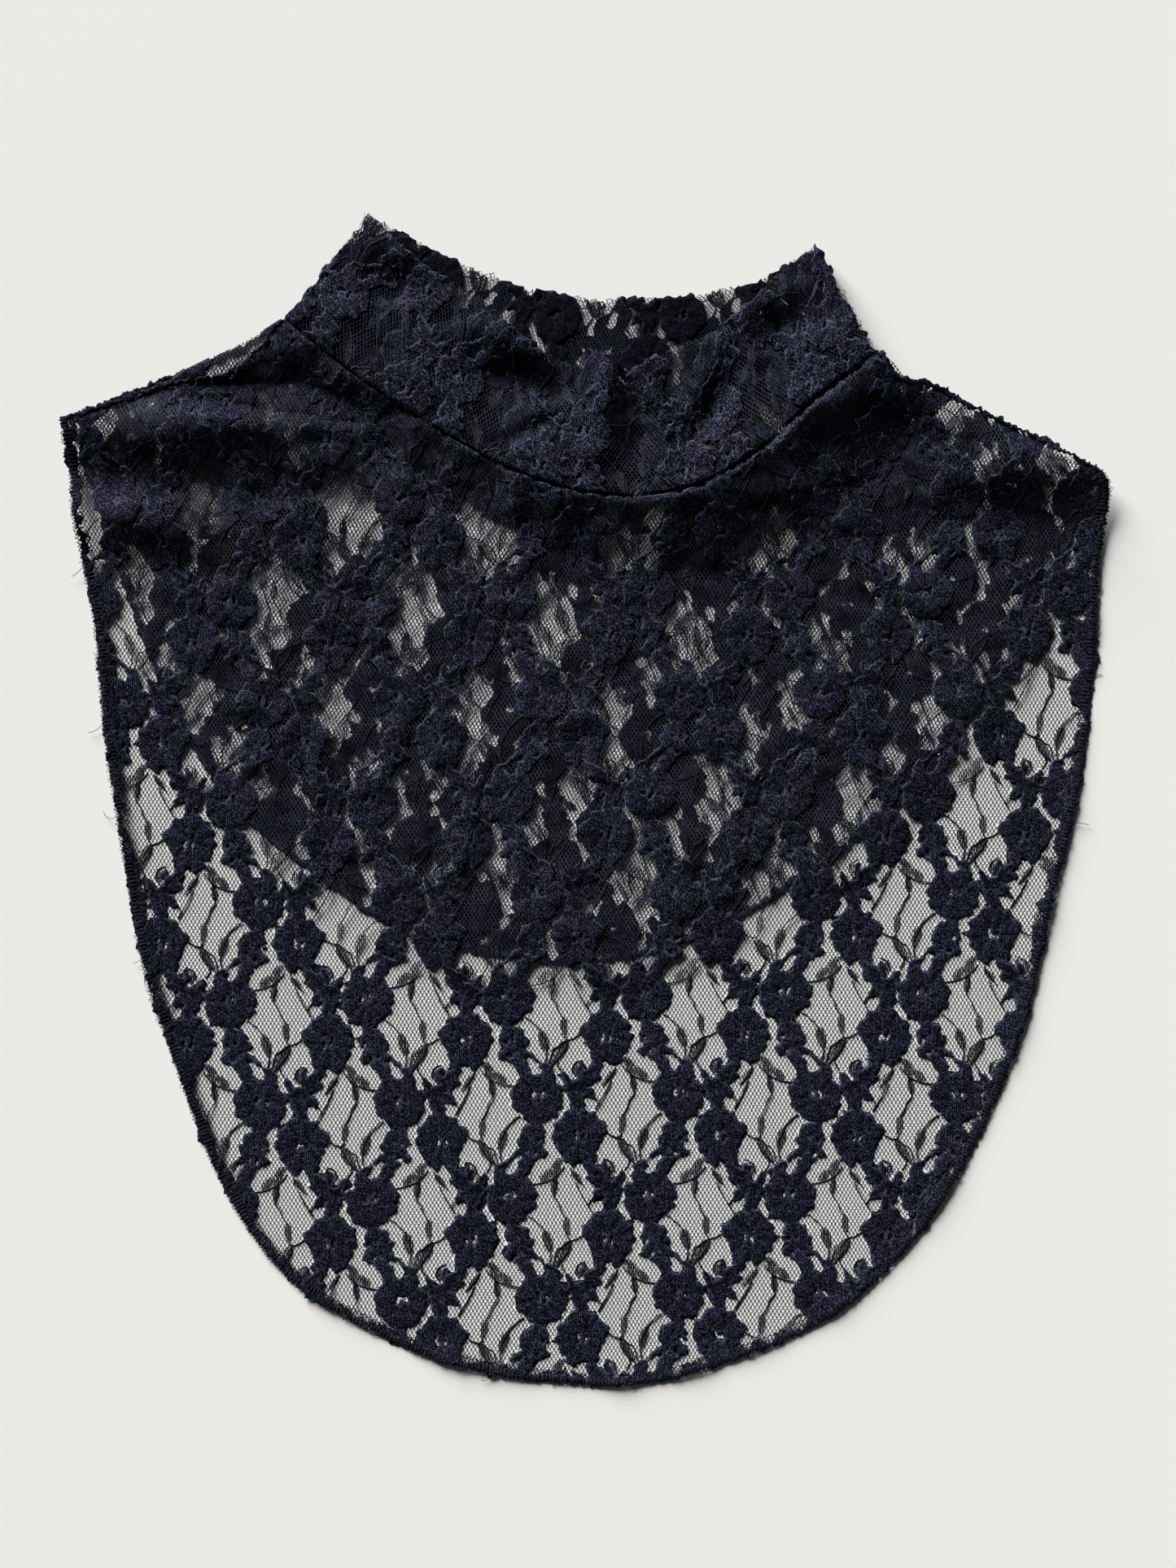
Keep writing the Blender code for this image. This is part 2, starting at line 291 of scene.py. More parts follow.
COLLAR_CREASES = (
    (-76, 182, -56, 171, 13, -4.4), (-84, 168, -66, 157, 6, 1.6), (-40, 162, -20, 153, 7, 2.6),
    (-35, 145, -6, 139, 11, -5.8), (-29, 121, -9, 131, 4, -1.8), (8, 160, 9, 120, 9, 5.2),
    (26, 146, 27, 134, 8, -1.2), (50, 148, 38, 122, 7, -4.2), (60, 157, 78, 168, 10, -4.6),
)

# The share of its height that a crease has at its ends, and how low the front's troughs go at most
CREASE_ENDS = 0.35
LOWEST_CREASE = -0.3

# Where the front lies on the back: how it passes into its single part, which is lower and smoother
DOUBLED_BEYOND = 2.0
DOUBLED_WIDTH = 12.0
LOWER_WHERE_DOUBLED = -0.5
SINGLE_SINK = 0.42
SINGLE_WAVES = 0.2

# The front is high just below the neck seam and falls away from it; and the roll of the collar over it
SEAM_RIDGE = 9.6
SEAM_RIDGE_RIGHT = 2.8
SEAM_RIDGE_LEFT = -2.4
SEAM_HOLD = 0.6
SEAM_RIDGE_AT = 1.1
SEAM_FALL = 21.0
SEAM_FALL_RIGHT = 9.0
SEAM_FALL_LEFT = -7.0
SEAM_STEEPNESS = 1.25
SEAM_TURN = 60.0
SEAM_SINK = 0.4
SEAM_SINK_WIDTH = 3.0
COLLAR_LIFT = 3.2
COLLAR_LIFT_RIGHT = 2.0
COLLAR_ROLL = 4.0
COLLAR_ROLL_AT = 1.0
COLLAR_ROLL_FALL = 24.0
HEM_LIFT = 0.9
HEM_LIFT_WIDTH = 9.0

# An extra layer of the front's cloth beside the neck: partly the cloth folded under itself and the seam's
# allowance, partly a sheet that darkens where shade falls. Its free edge, from the left shoulder round below
# the neck to the right side of the neck, x, y
NECK_TUCK_AND_SHADE = (
    (-170, 130), (-170, 110), (-150, 91), (-122, 90), (-104, 98), (-84, 103), (-62, 106), (-40, 100),
    (-10, 91), (18, 90), (44, 94), (64, 103), (88, 103), (112, 98), (142, 95), (160, 99), (150, 110),
    (124, 118), (115, 130), (110, 142),
)
TUCK_AND_SHADE_DEPTH = 1.25

# Fine wrinkles: how many waves, their lengths from and to, and their height
WRINKLES = (
    (16, 9.0, 22.0, 0.36),
    (16, 4.0, 8.0, 0.06),
)
COLLAR_WRINKLES = (
    (16, 8.0, 18.0, 0.20),
    (20, 3.5, 6.0, 0.05),
)
HEM_CURLS = (
    (12, 14.0, 45.0, 0.8),
)
EDGE_BUMPS = (
    (10, 2.5, 5.0, 0.35),
    (8, 7.0, 14.0, 0.30),
)
EDGE_BUMP_REACH = 4.0

# Yarns: name, then the colours of its darkest, middle and lightest fibres
YARNS = (
    ("navy_lace", (0.0004, 0.0004, 0.0012), (0.0058, 0.0061, 0.0120), (0.086, 0.092, 0.146)),
    # Painted light and shade: the collar's copy of the lace, with lighter lights and a darker body
    ("collar_painted_light_lace", (0.0003, 0.0003, 0.0009), (0.0026, 0.0028, 0.0060), (0.106, 0.114, 0.182)),
    # Painted shade: the same lace darkened for the back and the collar's back half, which lie in shade
    ("inner_lace", (0.0003, 0.0003, 0.0008), (0.0024, 0.0026, 0.005), (0.022, 0.024, 0.040)),
    ("navy_edging", (0.0004, 0.0004, 0.0012), (0.0050, 0.0053, 0.0100), (0.070, 0.075, 0.118)),
)

# From the cloth's map to millimetres, with the yarn's squiggles stretched upward
YARN_GRAIN = (100.0, 60.0, 1.0)

# Threads: name, colour and gloss
THREADS = (
    ("navy_net", (0.010, 0.0105, 0.015), 0.03),
    # Painted light: lighter copies of the navy net, for the front where it lies on the back and for the
    # collar
    ("painted_light_net", (0.023, 0.0245, 0.0355), 0.02),
    ("painted_light_collar_net", (0.020, 0.022, 0.035), 0.02),
    ("navy_cord", (0.011, 0.0115, 0.018), 0.04),
    # Painted light: a lighter copy of the navy cord, for the collar
    ("painted_light_cord", (0.022, 0.024, 0.038), 0.04),
    ("edge_thread", (0.016, 0.017, 0.026), 0.05),
)

# The room: a pale floor that reaches this many metres, walls that are pale to a height and dim above it, and
# soft light from a window
FLOOR_REACH = 40.0
FLOOR_COLOUR = (0.80, 0.795, 0.785, 1.0)
WALLS = ((0.10, (0.78, 0.78, 0.76)), (0.17, (0.030, 0.031, 0.032)))
SUN_FROM = (-0.60, 1.0, 0.48)
SUN_ENERGY = 8.2
SUN_SPREAD = 36

# The garment's grid, on which heights and distances are kept, and the height in metres that rays start from
GRID_STEP = 2.0
GRID_LOW = np.array((-190.0, -212.0))
GRID_COLUMNS = 191
GRID_ROWS = 213
RAY_HEIGHT = 1.0

# Seeds, so that every run is the same
NET_SEED = 5
KNOB_SEED = 7
WRINKLE_SEED = 3
COLLAR_SEED = 23
EDGE_SEED = 11


def smooth_step(value):
    """0 below 0, 1 above 1, with a soft start and end between."""
    part = np.clip(value, 0.0, 1.0)
    return part * part * (3.0 - 2.0 * part)


def along_line(at, places, line):
    """Points of a line whose own points lie at some places along it, read at other places."""
    return np.stack([np.interp(at, places, part) for part in line.T], -1)


def curve(points, step=OUTLINE_STEP, count=None):
    """Evenly spaced points on a smooth curve through the given ones, with both ends."""
    points = np.array(points, dtype=float)
    knots = np.concatenate(([0.0], np.cumsum(np.hypot(*np.diff(points, axis=0).T))))
    slopes = np.gradient(points, knots, axis=0)
    fine = np.linspace(0.0, knots[-1], 40 * len(points))
    span = np.clip(np.searchsorted(knots, fine, side="right") - 1, 0, len(knots) - 2)
    width = (knots[span + 1] - knots[span])[:, None]
    part = (fine - knots[span])[:, None] / width
    xy = (2 * part**3 - 3 * part**2 + 1) * points[span]
    xy += (part**3 - 2 * part**2 + part) * width * slopes[span]
    xy += (3 * part**2 - 2 * part**3) * points[span + 1]
    xy += (part**3 - part**2) * width * slopes[span + 1]
    run = np.concatenate(([0.0], np.cumsum(np.hypot(*np.diff(xy, axis=0).T))))
    count = count or max(2, round(run[-1] / step) + 1)
    return along_line(np.linspace(0.0, run[-1], count), run, xy)


def closed_outline(hem, seam, left_shoulder):
    """A panel's outline: down its left side, round the hem, up to the neck and along the seam."""
    right_line = curve(RIGHT_SHOULDER_LINE)[1:]
    neck = curve(seam)[::-1][1:]
    left_line = curve(left_shoulder)[::-1][1:-1]
    return np.vstack((curve(hem), right_line, neck, left_line))


def between(values, rows, columns, over, right):
    """A grid's value between its places in two rows and two columns."""
    low, high = (values[row, columns[0]] * (1 - right) + values[row, columns[1]] * right for row in rows)
    return low * (1 - over) + high * over


def field(values):
    """A value kept on the garment's grid, read smoothly between its points."""

    def value(x, y):
        across = np.clip((x - GRID_LOW[0]) / GRID_STEP, 0.0, GRID_COLUMNS - 1.001)
        up = np.clip((y - GRID_LOW[1]) / GRID_STEP, 0.0, GRID_ROWS - 1.001)
        column, row = across.astype(int), up.astype(int)
        return between(values, (row, row + 1), (column, column + 1), up - row, across - column)

    return value


def grid_points():
    """The x and y of every point of the garment's grid."""
    x = GRID_LOW[0] + GRID_STEP * np.arange(GRID_COLUMNS)
    y = GRID_LOW[1] + GRID_STEP * np.arange(GRID_ROWS)
    return np.meshgrid(x, y)


def signed_distance(outline, x, y):
    """Distance of rows of points from a closed outline, positive inside it."""
    starts, ends = outline, np.roll(outline, -1, axis=0)
    runs = ends - starts
    rise = np.where(runs[:, 1] == 0.0, 1.0, runs[:, 1])
    rows = []
    for points in np.stack((x, y), -1):
        offsets = points[:, None, :] - starts[None, :, :]
        along = np.clip((offsets * runs).sum(2) / (runs**2).sum(1), 0.0, 1.0)
        away = np.hypot(*np.moveaxis(offsets - along[..., None] * runs, 2, 0)).min(1)
        crosses = (starts[:, 1] > points[:, 1:]) != (ends[:, 1] > points[:, 1:])
        left_of = points[:, :1] < starts[:, 0] + runs[:, 0] * (points[:, 1:] - starts[:, 1]) / rise
        inside = (crosses & left_of).sum(1) % 2 == 1
        rows.append(np.where(inside, away, -away))
    return np.array(rows)


def distance_field(outline):
    """Distance from a closed outline, positive inside it."""
    return field(signed_distance(outline, *grid_points()))


def distance_from_line(points):
    """Distance from an open line through some points."""
    line = curve(points, GRID_STEP).T
    rows = [np.hypot(x[:, None] - line[0], y[:, None] - line[1]).min(1) for x, y in zip(*grid_points())]
    return field(np.array(rows))


def spread(values):
    """The grid with each empty place filled from its neighbours, a ring at a time."""
    while np.isnan(values).any():
        padded = np.pad(values, 1, constant_values=np.nan)
        around = np.stack((padded[:-2, 1:-1], padded[2:, 1:-1], padded[1:-1, :-2], padded[1:-1, 2:]))
        known = ~np.isnan(around)
        mean = np.where(known, around, 0.0).sum(0) / np.maximum(known.sum(0), 1)
        values = np.where(np.isnan(values) & known.any(0), mean, values)
    return values


def softened(values, times):
    """The grid smoothed over the nearest places, each time across and then up."""
    for _ in range(2 * times):
        padded = np.pad(values, ((0, 0), (1, 1)), mode="edge")
        values = ((padded[:, :-2] + 2 * padded[:, 1:-1] + padded[:, 2:]) / 4).T
    return values


def top_field(node):
    """Height of a node's upper face over the table, in millimetres."""
    tree = BVHTree.FromObject(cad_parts[node], bpy.context.evaluated_depsgraph_get())
    grid_x, grid_y = grid_points()
    heights = np.full(grid_x.shape, np.nan)
    for place in np.ndindex(*grid_x.shape):
        start = Vector((grid_x[place] * MM, grid_y[place] * MM, RAY_HEIGHT))
        hit = tree.ray_cast(start, Vector((0.0, 0.0, -1.0)))[0]
        if hit is not None:
            heights[place] = hit.z / MM
    return field(softened(spread(heights), 2))


def wave_sum(seed, kinds):
    """Soft random wrinkles over the plane, from waves of several lengths and all directions."""
    rng = np.random.default_rng(seed)
    waves = []
    for count, shortest, longest, height in kinds:
        for _ in range(count):
            turn, start = rng.uniform(0.0, 2 * math.pi, 2)
            speed = 2 * math.pi / rng.uniform(shortest, longest)
            rise = height * math.sqrt(2 / count)
            waves.append((speed * math.cos(turn), speed * math.sin(turn), start, rise))

    def value(x, y):
        return sum(rise * np.sin(across * x + up * y + start) for across, up, start, rise in waves)

    return value


def crease_heights(x, y, creases):
    """Heights of the creases at some places, each fading out round its line."""
    height = np.zeros(x.shape)
    for start_x, start_y, end_x, end_y, half_width, rise in creases:
        run_x, run_y = end_x - start_x, end_y - start_y
        along = ((x - start_x) * run_x + (y - start_y) * run_y) / (run_x**2 + run_y**2)
        along = np.clip(along, 0.0, 1.0)
        away = np.hypot(x - start_x - along * run_x, y - start_y - along * run_y)
        fade = CREASE_ENDS + (1.0 - CREASE_ENDS) * np.sin(math.pi * along)
        height += rise * fade * (1.0 - smooth_step(away / half_width))
    return height


def chart(values):
    """A value over one repeat of the lace, read smoothly anywhere on the cloth."""
    rows, columns = values.shape

    def value(a, b):
        across, up = (a / CHART_STEP) % columns, (b / CHART_STEP) % rows
        column, row = across.astype(int) % columns, up.astype(int) % rows
        corners = (row, (row + 1) % rows), (column, (column + 1) % columns)
        return between(values, *corners, up - np.floor(up), across - np.floor(across))

    return value


def rounded(points):
    """A closed outline with its corners cut twice."""
    points = np.array(points)
    for _ in range(2):
        ahead = np.roll(points, -1, axis=0)
        points = np.stack((0.75 * points + 0.25 * ahead, 0.25 * points + 0.75 * ahead), 1).reshape(-1, 2)
    return points


def leaf_outline(base_x, base_y, tip_x, tip_y, half_width):
    """A leaf from its base to its tip, widest a little before the middle."""
    base, run = np.array((base_x, base_y)), np.array((tip_x - base_x, tip_y - base_y))
    side = np.array((-run[1], run[0])) / np.hypot(*run) * half_width
    along = np.linspace(0.0, 1.0, 9)[:, None]
    width = np.sin(math.pi * along**0.8) ** 0.7
    left, right = (base + along * run + turn * width * side for turn in (1, -1))
    return np.concatenate((left, right[-2:0:-1]))


def beside_splits(x, y):
    """Distance from the nearest split between two petals."""
    beside = np.full(x.shape, FAR)
    for middle_x, middle_y, *angles in PETAL_SPLITS:
        away = np.hypot(x - middle_x, y - middle_y)
        angle = np.arctan2(y - middle_y, x - middle_x)
        for split in np.radians(angles):
            turned = angle - split
            ahead = (np.cos(turned) > 0.3) & (away > SPLIT_START) & (away < SPLIT_END)
            beside = np.where(ahead, np.minimum(beside, away * np.abs(np.sin(turned))), beside)
    return beside


def chart_lace():
    """Charts of the motifs: depth inside their outline, and how near a crease is, from 0 to 1."""
    columns, rows = round(REPEAT_WIDTH / CHART_STEP), round(REPEAT_HEIGHT / CHART_STEP)
    depth = np.full((rows, columns), -FAR)
    crease = np.zeros((rows, columns))

    def window(low, high):
        """Chart places round a motif: their rows and columns, and their x and y."""
        first, last = np.floor(low / CHART_STEP).astype(int), np.ceil(high / CHART_STEP).astype(int)
        across, up = np.arange(first[0], last[0] + 1), np.arange(first[1], last[1] + 1)
        x, y = np.meshgrid(across * CHART_STEP, up * CHART_STEP)
        return np.ix_(up % rows, across % columns), x, y

    def deepen(outline, veins, notch):
        place, x, y = window(outline.min(0) - 3.0, outline.max(0) + 3.0)
        near = np.exp(-((veins(x, y) / CREASE_WIDTH) ** 2))
        inside = signed_distance(outline, x, y) + CHART_SWELL - notch * near
        rim = np.exp(-((inside / CREASE_WIDTH) ** 2)) * (depth[place] > 0.3)
        crease[place] = np.maximum(crease[place], rim)
        crease[place] = np.where(inside > depth[place], near, crease[place])
        depth[place] = np.maximum(depth[place], inside)

    for leaf in LEAVES:
        base_x, base_y, tip_x, tip_y, _ = leaf
        length = math.hypot(tip_x - base_x, tip_y - base_y)
        deepen(leaf_outline(*leaf), lambda x, y: np.abs(
            (y - base_y) * (tip_x - base_x) - (x - base_x) * (tip_y - base_y)) / length, 0.0)
    for outline in (FIRST_FLOWER, SECOND_FLOWER, FLORETS):
        deepen(rounded(outline), beside_splits, NOTCH)
    for hole_x, hole_y, half_width, half_height in HOLES:
        middle, reach = np.array((hole_x, hole_y)), np.array((half_width, half_height))
        place, x, y = window(middle - reach - 1.5, middle + reach + 1.5)
        away = np.hypot((x - hole_x) / half_width, (y - hole_y) / half_height) - 1.0
        depth[place] = np.minimum(depth[place], away * min(half_width, half_height))
    mirrored = np.ix_(
        (np.arange(rows) + rows // 2) % rows,
        (round(2 * MIRROR_X / CHART_STEP) - np.arange(columns)) % columns,
    )
    lower = depth[mirrored] > depth
    crease = np.where(lower, crease[mirrored], crease)
    return chart(np.where(lower, depth[mirrored], depth)), chart(crease)


class Cloth:
    """A flat piece of lace: its bounds, the room inside its edge, where it lies, and its pattern's place."""

    def __init__(self, name, low, high, room, place, pattern_at):
        self.name = name
        self.low, self.high = np.array(low, dtype=float), np.array(high, dtype=float)
        self.room, self.motif_room, self.place = room, room, place
        self.pattern_at, self.face = pattern_at, 1.0


def placed(name, data):
    """A new object in the scene, with its data."""
    thing = bpy.data.objects.new(name, data)
    bpy.context.scene.collection.objects.link(thing)
    return thing


def mesh_piece(name, cloth, a, b, height, faces, material, rim=None):
    """A piece of the garment, from points on its cloth and faces as rows of corners."""
    sides = faces.shape[1]
    used, corners = np.unique(faces, return_inverse=True)
    corners = corners.ravel()
    a, b, height = a[used], b[used], height[used]
    points = cloth.place(a, b, height * cloth.face) * MM
    maps = {"cloth": (a / CLOTH_MAP, b / CLOTH_MAP)}
    if rim is not None:
        maps["rim"] = (rim[0][used], rim[1][used])
    size = max(np.ptp(a), np.ptp(b))
    maps["OFBake"] = ((a - a.min()) / size, (b - b.min()) / size)
    mesh = bpy.data.meshes.new(name)
    mesh.vertices.add(len(points))
    mesh.vertices.foreach_set("co", points.astype(np.float32).ravel())
    mesh.loops.add(len(corners))
    mesh.loops.foreach_set("vertex_index", corners.astype(np.int32))
    mesh.polygons.add(len(faces))
    mesh.polygons.foreach_set("loop_start", np.arange(0, len(corners), sides, dtype=np.int32))
    mesh.update(calc_edges=True)
    mesh.polygons.foreach_set("use_smooth", np.ones(len(faces), dtype=bool))
    for map_name, (across, up) in maps.items():
        layer = mesh.uv_layers.new(name=map_name)
        uv = np.column_stack((across[corners], up[corners]))
        layer.data.foreach_set("uv", uv.astype(np.float32).ravel())
    mesh.materials.append(material)
    piece = placed(name, mesh)
    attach(piece, "root")
    return piece


def staggered(cloth, pitch, row_pitch, more):
    """Rows and columns of points over a cloth's bounds, with every second row moved by half a pitch."""
    rows = int((cloth.high[1] - cloth.low[1]) / row_pitch) + more
    columns = int((cloth.high[0] - cloth.low[0]) / pitch) + more
    row, column = np.meshgrid(np.arange(rows), np.arange(columns), indexing="ij")
    a = cloth.low[0] + (column - 1 + 0.5 * (row % 2)) * pitch
    b = cloth.low[1] + (row - 1) * row_pitch
    return row, column, a, b


def lattice(cloth, spacing):
    """Points in staggered rows over a cloth's bounds, and triangles between them."""
    row, column, a, b = staggered(cloth, spacing, spacing * math.sqrt(3) / 2, 3)
    columns = row.shape[1]
    corner = (row * columns + column)[:-1, :-1]
    right, over, across = corner + 1, corner + columns, corner + columns + 1
    even = (row[:-1, :-1] % 2 == 0)[..., None]
    first = np.where(even, np.stack((corner, right, over), 2), np.stack((corner, right, across), 2))
    second = np.where(even, np.stack((right, across, over), 2), np.stack((corner, across, over), 2))
    triangles = np.concatenate((first.reshape(-1, 3), second.reshape(-1, 3)))
    return a.ravel(), b.ravel(), triangles


def cut_lattice(a, b, triangles, depth, on):
    """The part of a lattice where depth is positive, cut along depth zero, and its cut edges.

    Points that are on the line already, so marked, are its corners there, and no new ones are made."""
    inside = (depth > 0) & ~on
    count = inside[triangles].sum(1)
    whole = triangles[count == 3]
    two = triangles[count == 2]
    shift = np.argmin(inside[two], axis=1)
    two = two[np.arange(len(two))[:, None], (shift[:, None] + np.array((1, 2, 0))) % 3]
    one = triangles[count == 1]
    shift = np.argmax(inside[one], axis=1)
    one = one[np.arange(len(one))[:, None], (shift[:, None] + np.array((0, 1, 2))) % 3]
    pairs = np.concatenate((two[:, [1, 2]], two[:, [0, 2]], one[:, [0, 1]], one[:, [0, 2]]))
    kept, cut = np.unique(pairs, axis=0, return_inverse=True)
    within, beyond = kept[:, 0], kept[:, 1]
    cut = np.where(on[beyond], beyond, np.arange(len(kept)) + len(a))[cut.ravel()]
    part = np.clip(depth[within] / np.maximum(depth[within] - depth[beyond], 1e-9), 0.1, 0.9)
    a = np.concatenate((a, a[within] + part * (a[beyond] - a[within])))
    b = np.concatenate((b, b[within] + part * (b[beyond] - b[within])))
    far, near, first, second = np.split(cut, (len(two), 2 * len(two), 2 * len(two) + len(one)))
    faces = np.concatenate((
        whole,
        np.column_stack((two[:, 0], two[:, 1], far)),
        np.column_stack((two[:, 0], far, near)),
        np.column_stack((one[:, 0], first, second)),
    ))
    edges = np.concatenate((np.column_stack((far, near)), np.column_stack((first, second))))
    whole_faces = (faces != np.roll(faces, 1, axis=1)).all(1)
    return a, b, faces[whole_faces], edges[edges[:, 0] != edges[:, 1]]


def ripple(a, b):
    """The unevenness of the knitting, across and up."""
    across = 0.26 * np.sin(1.9 * b + 0.7 * a) + 0.24 * np.sin(3.1 * b - 1.1 * a + 1.0)
    up = 0.26 * np.sin(1.7 * a - 0.6 * b + 2.0) + 0.24 * np.sin(2.9 * a + 1.3 * b)
    return across, up


def motif_depth(cloth, a, b):
    """How deep a place is inside a motif and inside the part that has motifs, whichever is less."""
    across, up = ripple(a, b)
    depth = CHART_DEPTH(a + across - cloth.pattern_at[0], b + up - cloth.pattern_at[1])
    return np.minimum(depth, cloth.motif_room(a, b))


def motif_faces(cloth, spacing):
    """The motifs' points, faces and cut edges, from a lattice whose points near an outline move onto it."""
    a, b, triangles = lattice(cloth, spacing)
    depth = motif_depth(cloth, a, b)
    near = np.abs(depth) < SNAP * spacing
    near_a, near_b = a[near], b[near]
    slope_a = (motif_depth(cloth, near_a + SLOPE_STEP, near_b) - depth[near]) / SLOPE_STEP
    slope_b = (motif_depth(cloth, near_a, near_b + SLOPE_STEP) - depth[near]) / SLOPE_STEP
    away = depth[near] / np.maximum(slope_a**2 + slope_b**2, 0.5)
    a[near] -= away * slope_a
    b[near] -= away * slope_b
    return cut_lattice(a, b, triangles, depth, near)


def motifs(cloth, spacing, under_spacing, material):
    """The filled motifs: a domed upper face with a rim, and a plain lower face."""
    a, b, faces, edges = motif_faces(cloth, spacing)
    depth = motif_depth(cloth, a, b)
    crease = CHART_CREASE(a - cloth.pattern_at[0], b - cloth.pattern_at[1])
    height = RAISE + DOME * np.sqrt(np.clip(depth / DOME_REACH, 0.0, 1.0)) - CREASE_DEPTH * crease
    height += np.random.default_rng(KNOB_SEED).normal(0.0, KNOBS, len(height))
    count = len(a)
    rim, rim_edges = np.unique(edges, return_inverse=True)
    rim_edges = rim_edges.reshape(edges.shape) + count
    skirt = np.concatenate((
        np.column_stack((edges[:, 1], edges[:, 0], rim_edges[:, 0])),
        np.column_stack((edges[:, 1], rim_edges[:, 0], rim_edges[:, 1])),
    ))
    height[rim] = RAISE
    under_a, under_b, under_faces, _ = motif_faces(cloth, under_spacing)
    below = np.zeros(len(rim) + len(under_a))
    all_a = np.concatenate((a, a[rim], under_a))
    all_b = np.concatenate((b, b[rim], under_b))
    all_height = np.concatenate((height, below + LOWER))
    all_faces = np.concatenate((faces, skirt, under_faces[:, ::-1] + count + len(rim)))
    shade = np.concatenate((depth, below)), np.concatenate((crease, below))
    return mesh_piece(cloth.name + "_lace", cloth, all_a, all_b, all_height, all_faces, material, rim=shade)


def everywhere(x, y):
    """Every place passes this test."""
    return np.full(x.shape, True)


def net(cloth, material, thread, ending="_net", lies=everywhere):
    """The net between the motifs: threads round staggered six-sided cells, joined at their corners.

    It is kept where the test of x and y says that it lies."""
    row, column, a, b = staggered(cloth, NET_PITCH, NET_ROW, 4)
    rows, columns = row.shape
    rise = NET_ROW * 2 / 3
    jitter = np.random.default_rng(NET_SEED).normal(0.0, NET_JITTER, (2, 2, rows, columns))
    node_a = np.stack((a + NET_SLANT, a - NET_SLANT)) + jitter[0]
    node_b = np.stack((b + rise, b - rise)) + jitter[1]
    keep = cloth.room(node_a, node_b) > NET_MARGIN
    keep &= motif_depth(cloth, node_a, node_b) < NET_TUCK
    reach = thread / 2 / math.sin(math.pi / 3)
    angles = np.radians(((30.0, 150.0, 270.0), (-30.0, 210.0, 90.0)))[:, None, None, :]
    corner_a = (node_a[..., None] + NET_WALL * reach * np.cos(angles)).ravel()
    corner_b = (node_b[..., None] + NET_LINK * reach * np.sin(angles)).ravel()
    upper, lower = np.arange(len(corner_a)).reshape(2, rows, columns, 3)
    upper_keep, lower_keep = keep
    inner = (slice(0, rows - 2), slice(1, columns - 1))
    start, kept = upper[inner], upper_keep[inner]

    def thread_faces(end, end_kept, sides):
        """Faces of the threads from the inner upper nodes to some lower nodes, where both are kept."""
        corners = [(start, end)[part][..., corner] for part, corner in sides]
        return np.stack(corners, -1)[kept & end_kept]

    faces = [thread_faces(lower[2:, 1:-1], lower_keep[2:, 1:-1], ((0, 0), (1, 0), (1, 1), (0, 1)))]
    for beside, sides in ((0, ((0, 2), (1, 1), (1, 2), (0, 0))), (-1, ((1, 0), (0, 2), (0, 1), (1, 2)))):
        place = row[inner] + 1, column[inner] + row[inner] % 2 + beside
        faces.append(thread_faces(lower[place], lower_keep[place], sides))
    faces = np.concatenate(faces)
    height = np.zeros(len(corner_a))
    x, y, _ = cloth.place(corner_a, corner_b, height).T
    faces = faces[lies(x, y)[faces[:, 0]]]
    return mesh_piece(cloth.name + ending, cloth, corner_a, corner_b, height, faces, material)


def tubes(centre_a, centre_b, height, radius):
    """Rings round rows of lines on the cloth: each ring's places, heights and the faces between rings."""
    run_a, run_b = np.gradient(centre_a, axis=1), np.gradient(centre_b, axis=1)
    length = np.maximum(np.hypot(run_a, run_b), 1e-6)
    across_a, across_b = -run_b / length, run_a / length
    angle = 2 * math.pi * (np.arange(TUBE_SIDES) + 0.5) / TUBE_SIDES
    a = centre_a[..., None] + across_a[..., None] * (np.cos(angle) * radius)
    b = centre_b[..., None] + across_b[..., None] * (np.cos(angle) * radius)
    height = np.broadcast_to(height, centre_a.shape)[..., None] + np.sin(angle) * radius
    number = np.arange(a.size).reshape(a.shape)
    near, far = number[:, :-1], number[:, 1:]
    faces = np.stack((near, far, np.roll(far, -1, 2), np.roll(near, -1, 2)), -1).reshape(-1, 4)
    return a.ravel(), b.ravel(), height.ravel(), faces


def repeated(cloth, x, y):
    """Lines of the upper half, given as rows of points, at each of their places on the cloth."""
    size = np.array((REPEAT_WIDTH, REPEAT_HEIGHT))
    first = np.floor((cloth.low - cloth.pattern_at) / size).astype(int) - 1
    last = np.ceil((cloth.high - cloth.pattern_at) / size).astype(int) + 1
    steps = [(i, j) for i in range(first[0], last[0] + 1) for j in range(first[1], last[1] + 1)]
    steps = np.array(steps) * size + cloth.pattern_at
    both_x = np.concatenate((x, 2 * MIRROR_X - x))
    both_y = np.concatenate((y, y - REPEAT_HEIGHT / 2))
    a = (both_x[None] + steps[:, 0, None, None]).reshape(-1, x.shape[1])
    b = (both_y[None] + steps[:, 1, None, None]).reshape(-1, x.shape[1])
    near = (a.max(1) > cloth.low[0]) & (a.min(1) < cloth.high[0])
    near &= (b.max(1) > cloth.low[1]) & (b.min(1) < cloth.high[1])
    return a[near], b[near]


def cords(cloth, material):
    """The cords between the motifs."""
    paths = np.array([curve(points, count=CORD_POINTS) for points in CORDS])
    wave = 0.16 * np.sin(np.arange(CORD_POINTS) * 2.1)
    a, b = repeated(cloth, paths[..., 0] + wave, paths[..., 1])
    a, b, height, faces = tubes(a, b, CORD_HEIGHT, CORD_RADIUS)
    faces = faces[(cloth.room(a, b) > THREAD_MARGIN)[faces].all(1)]
    return mesh_piece(cloth.name + "_cords", cloth, a, b, height, faces, material)


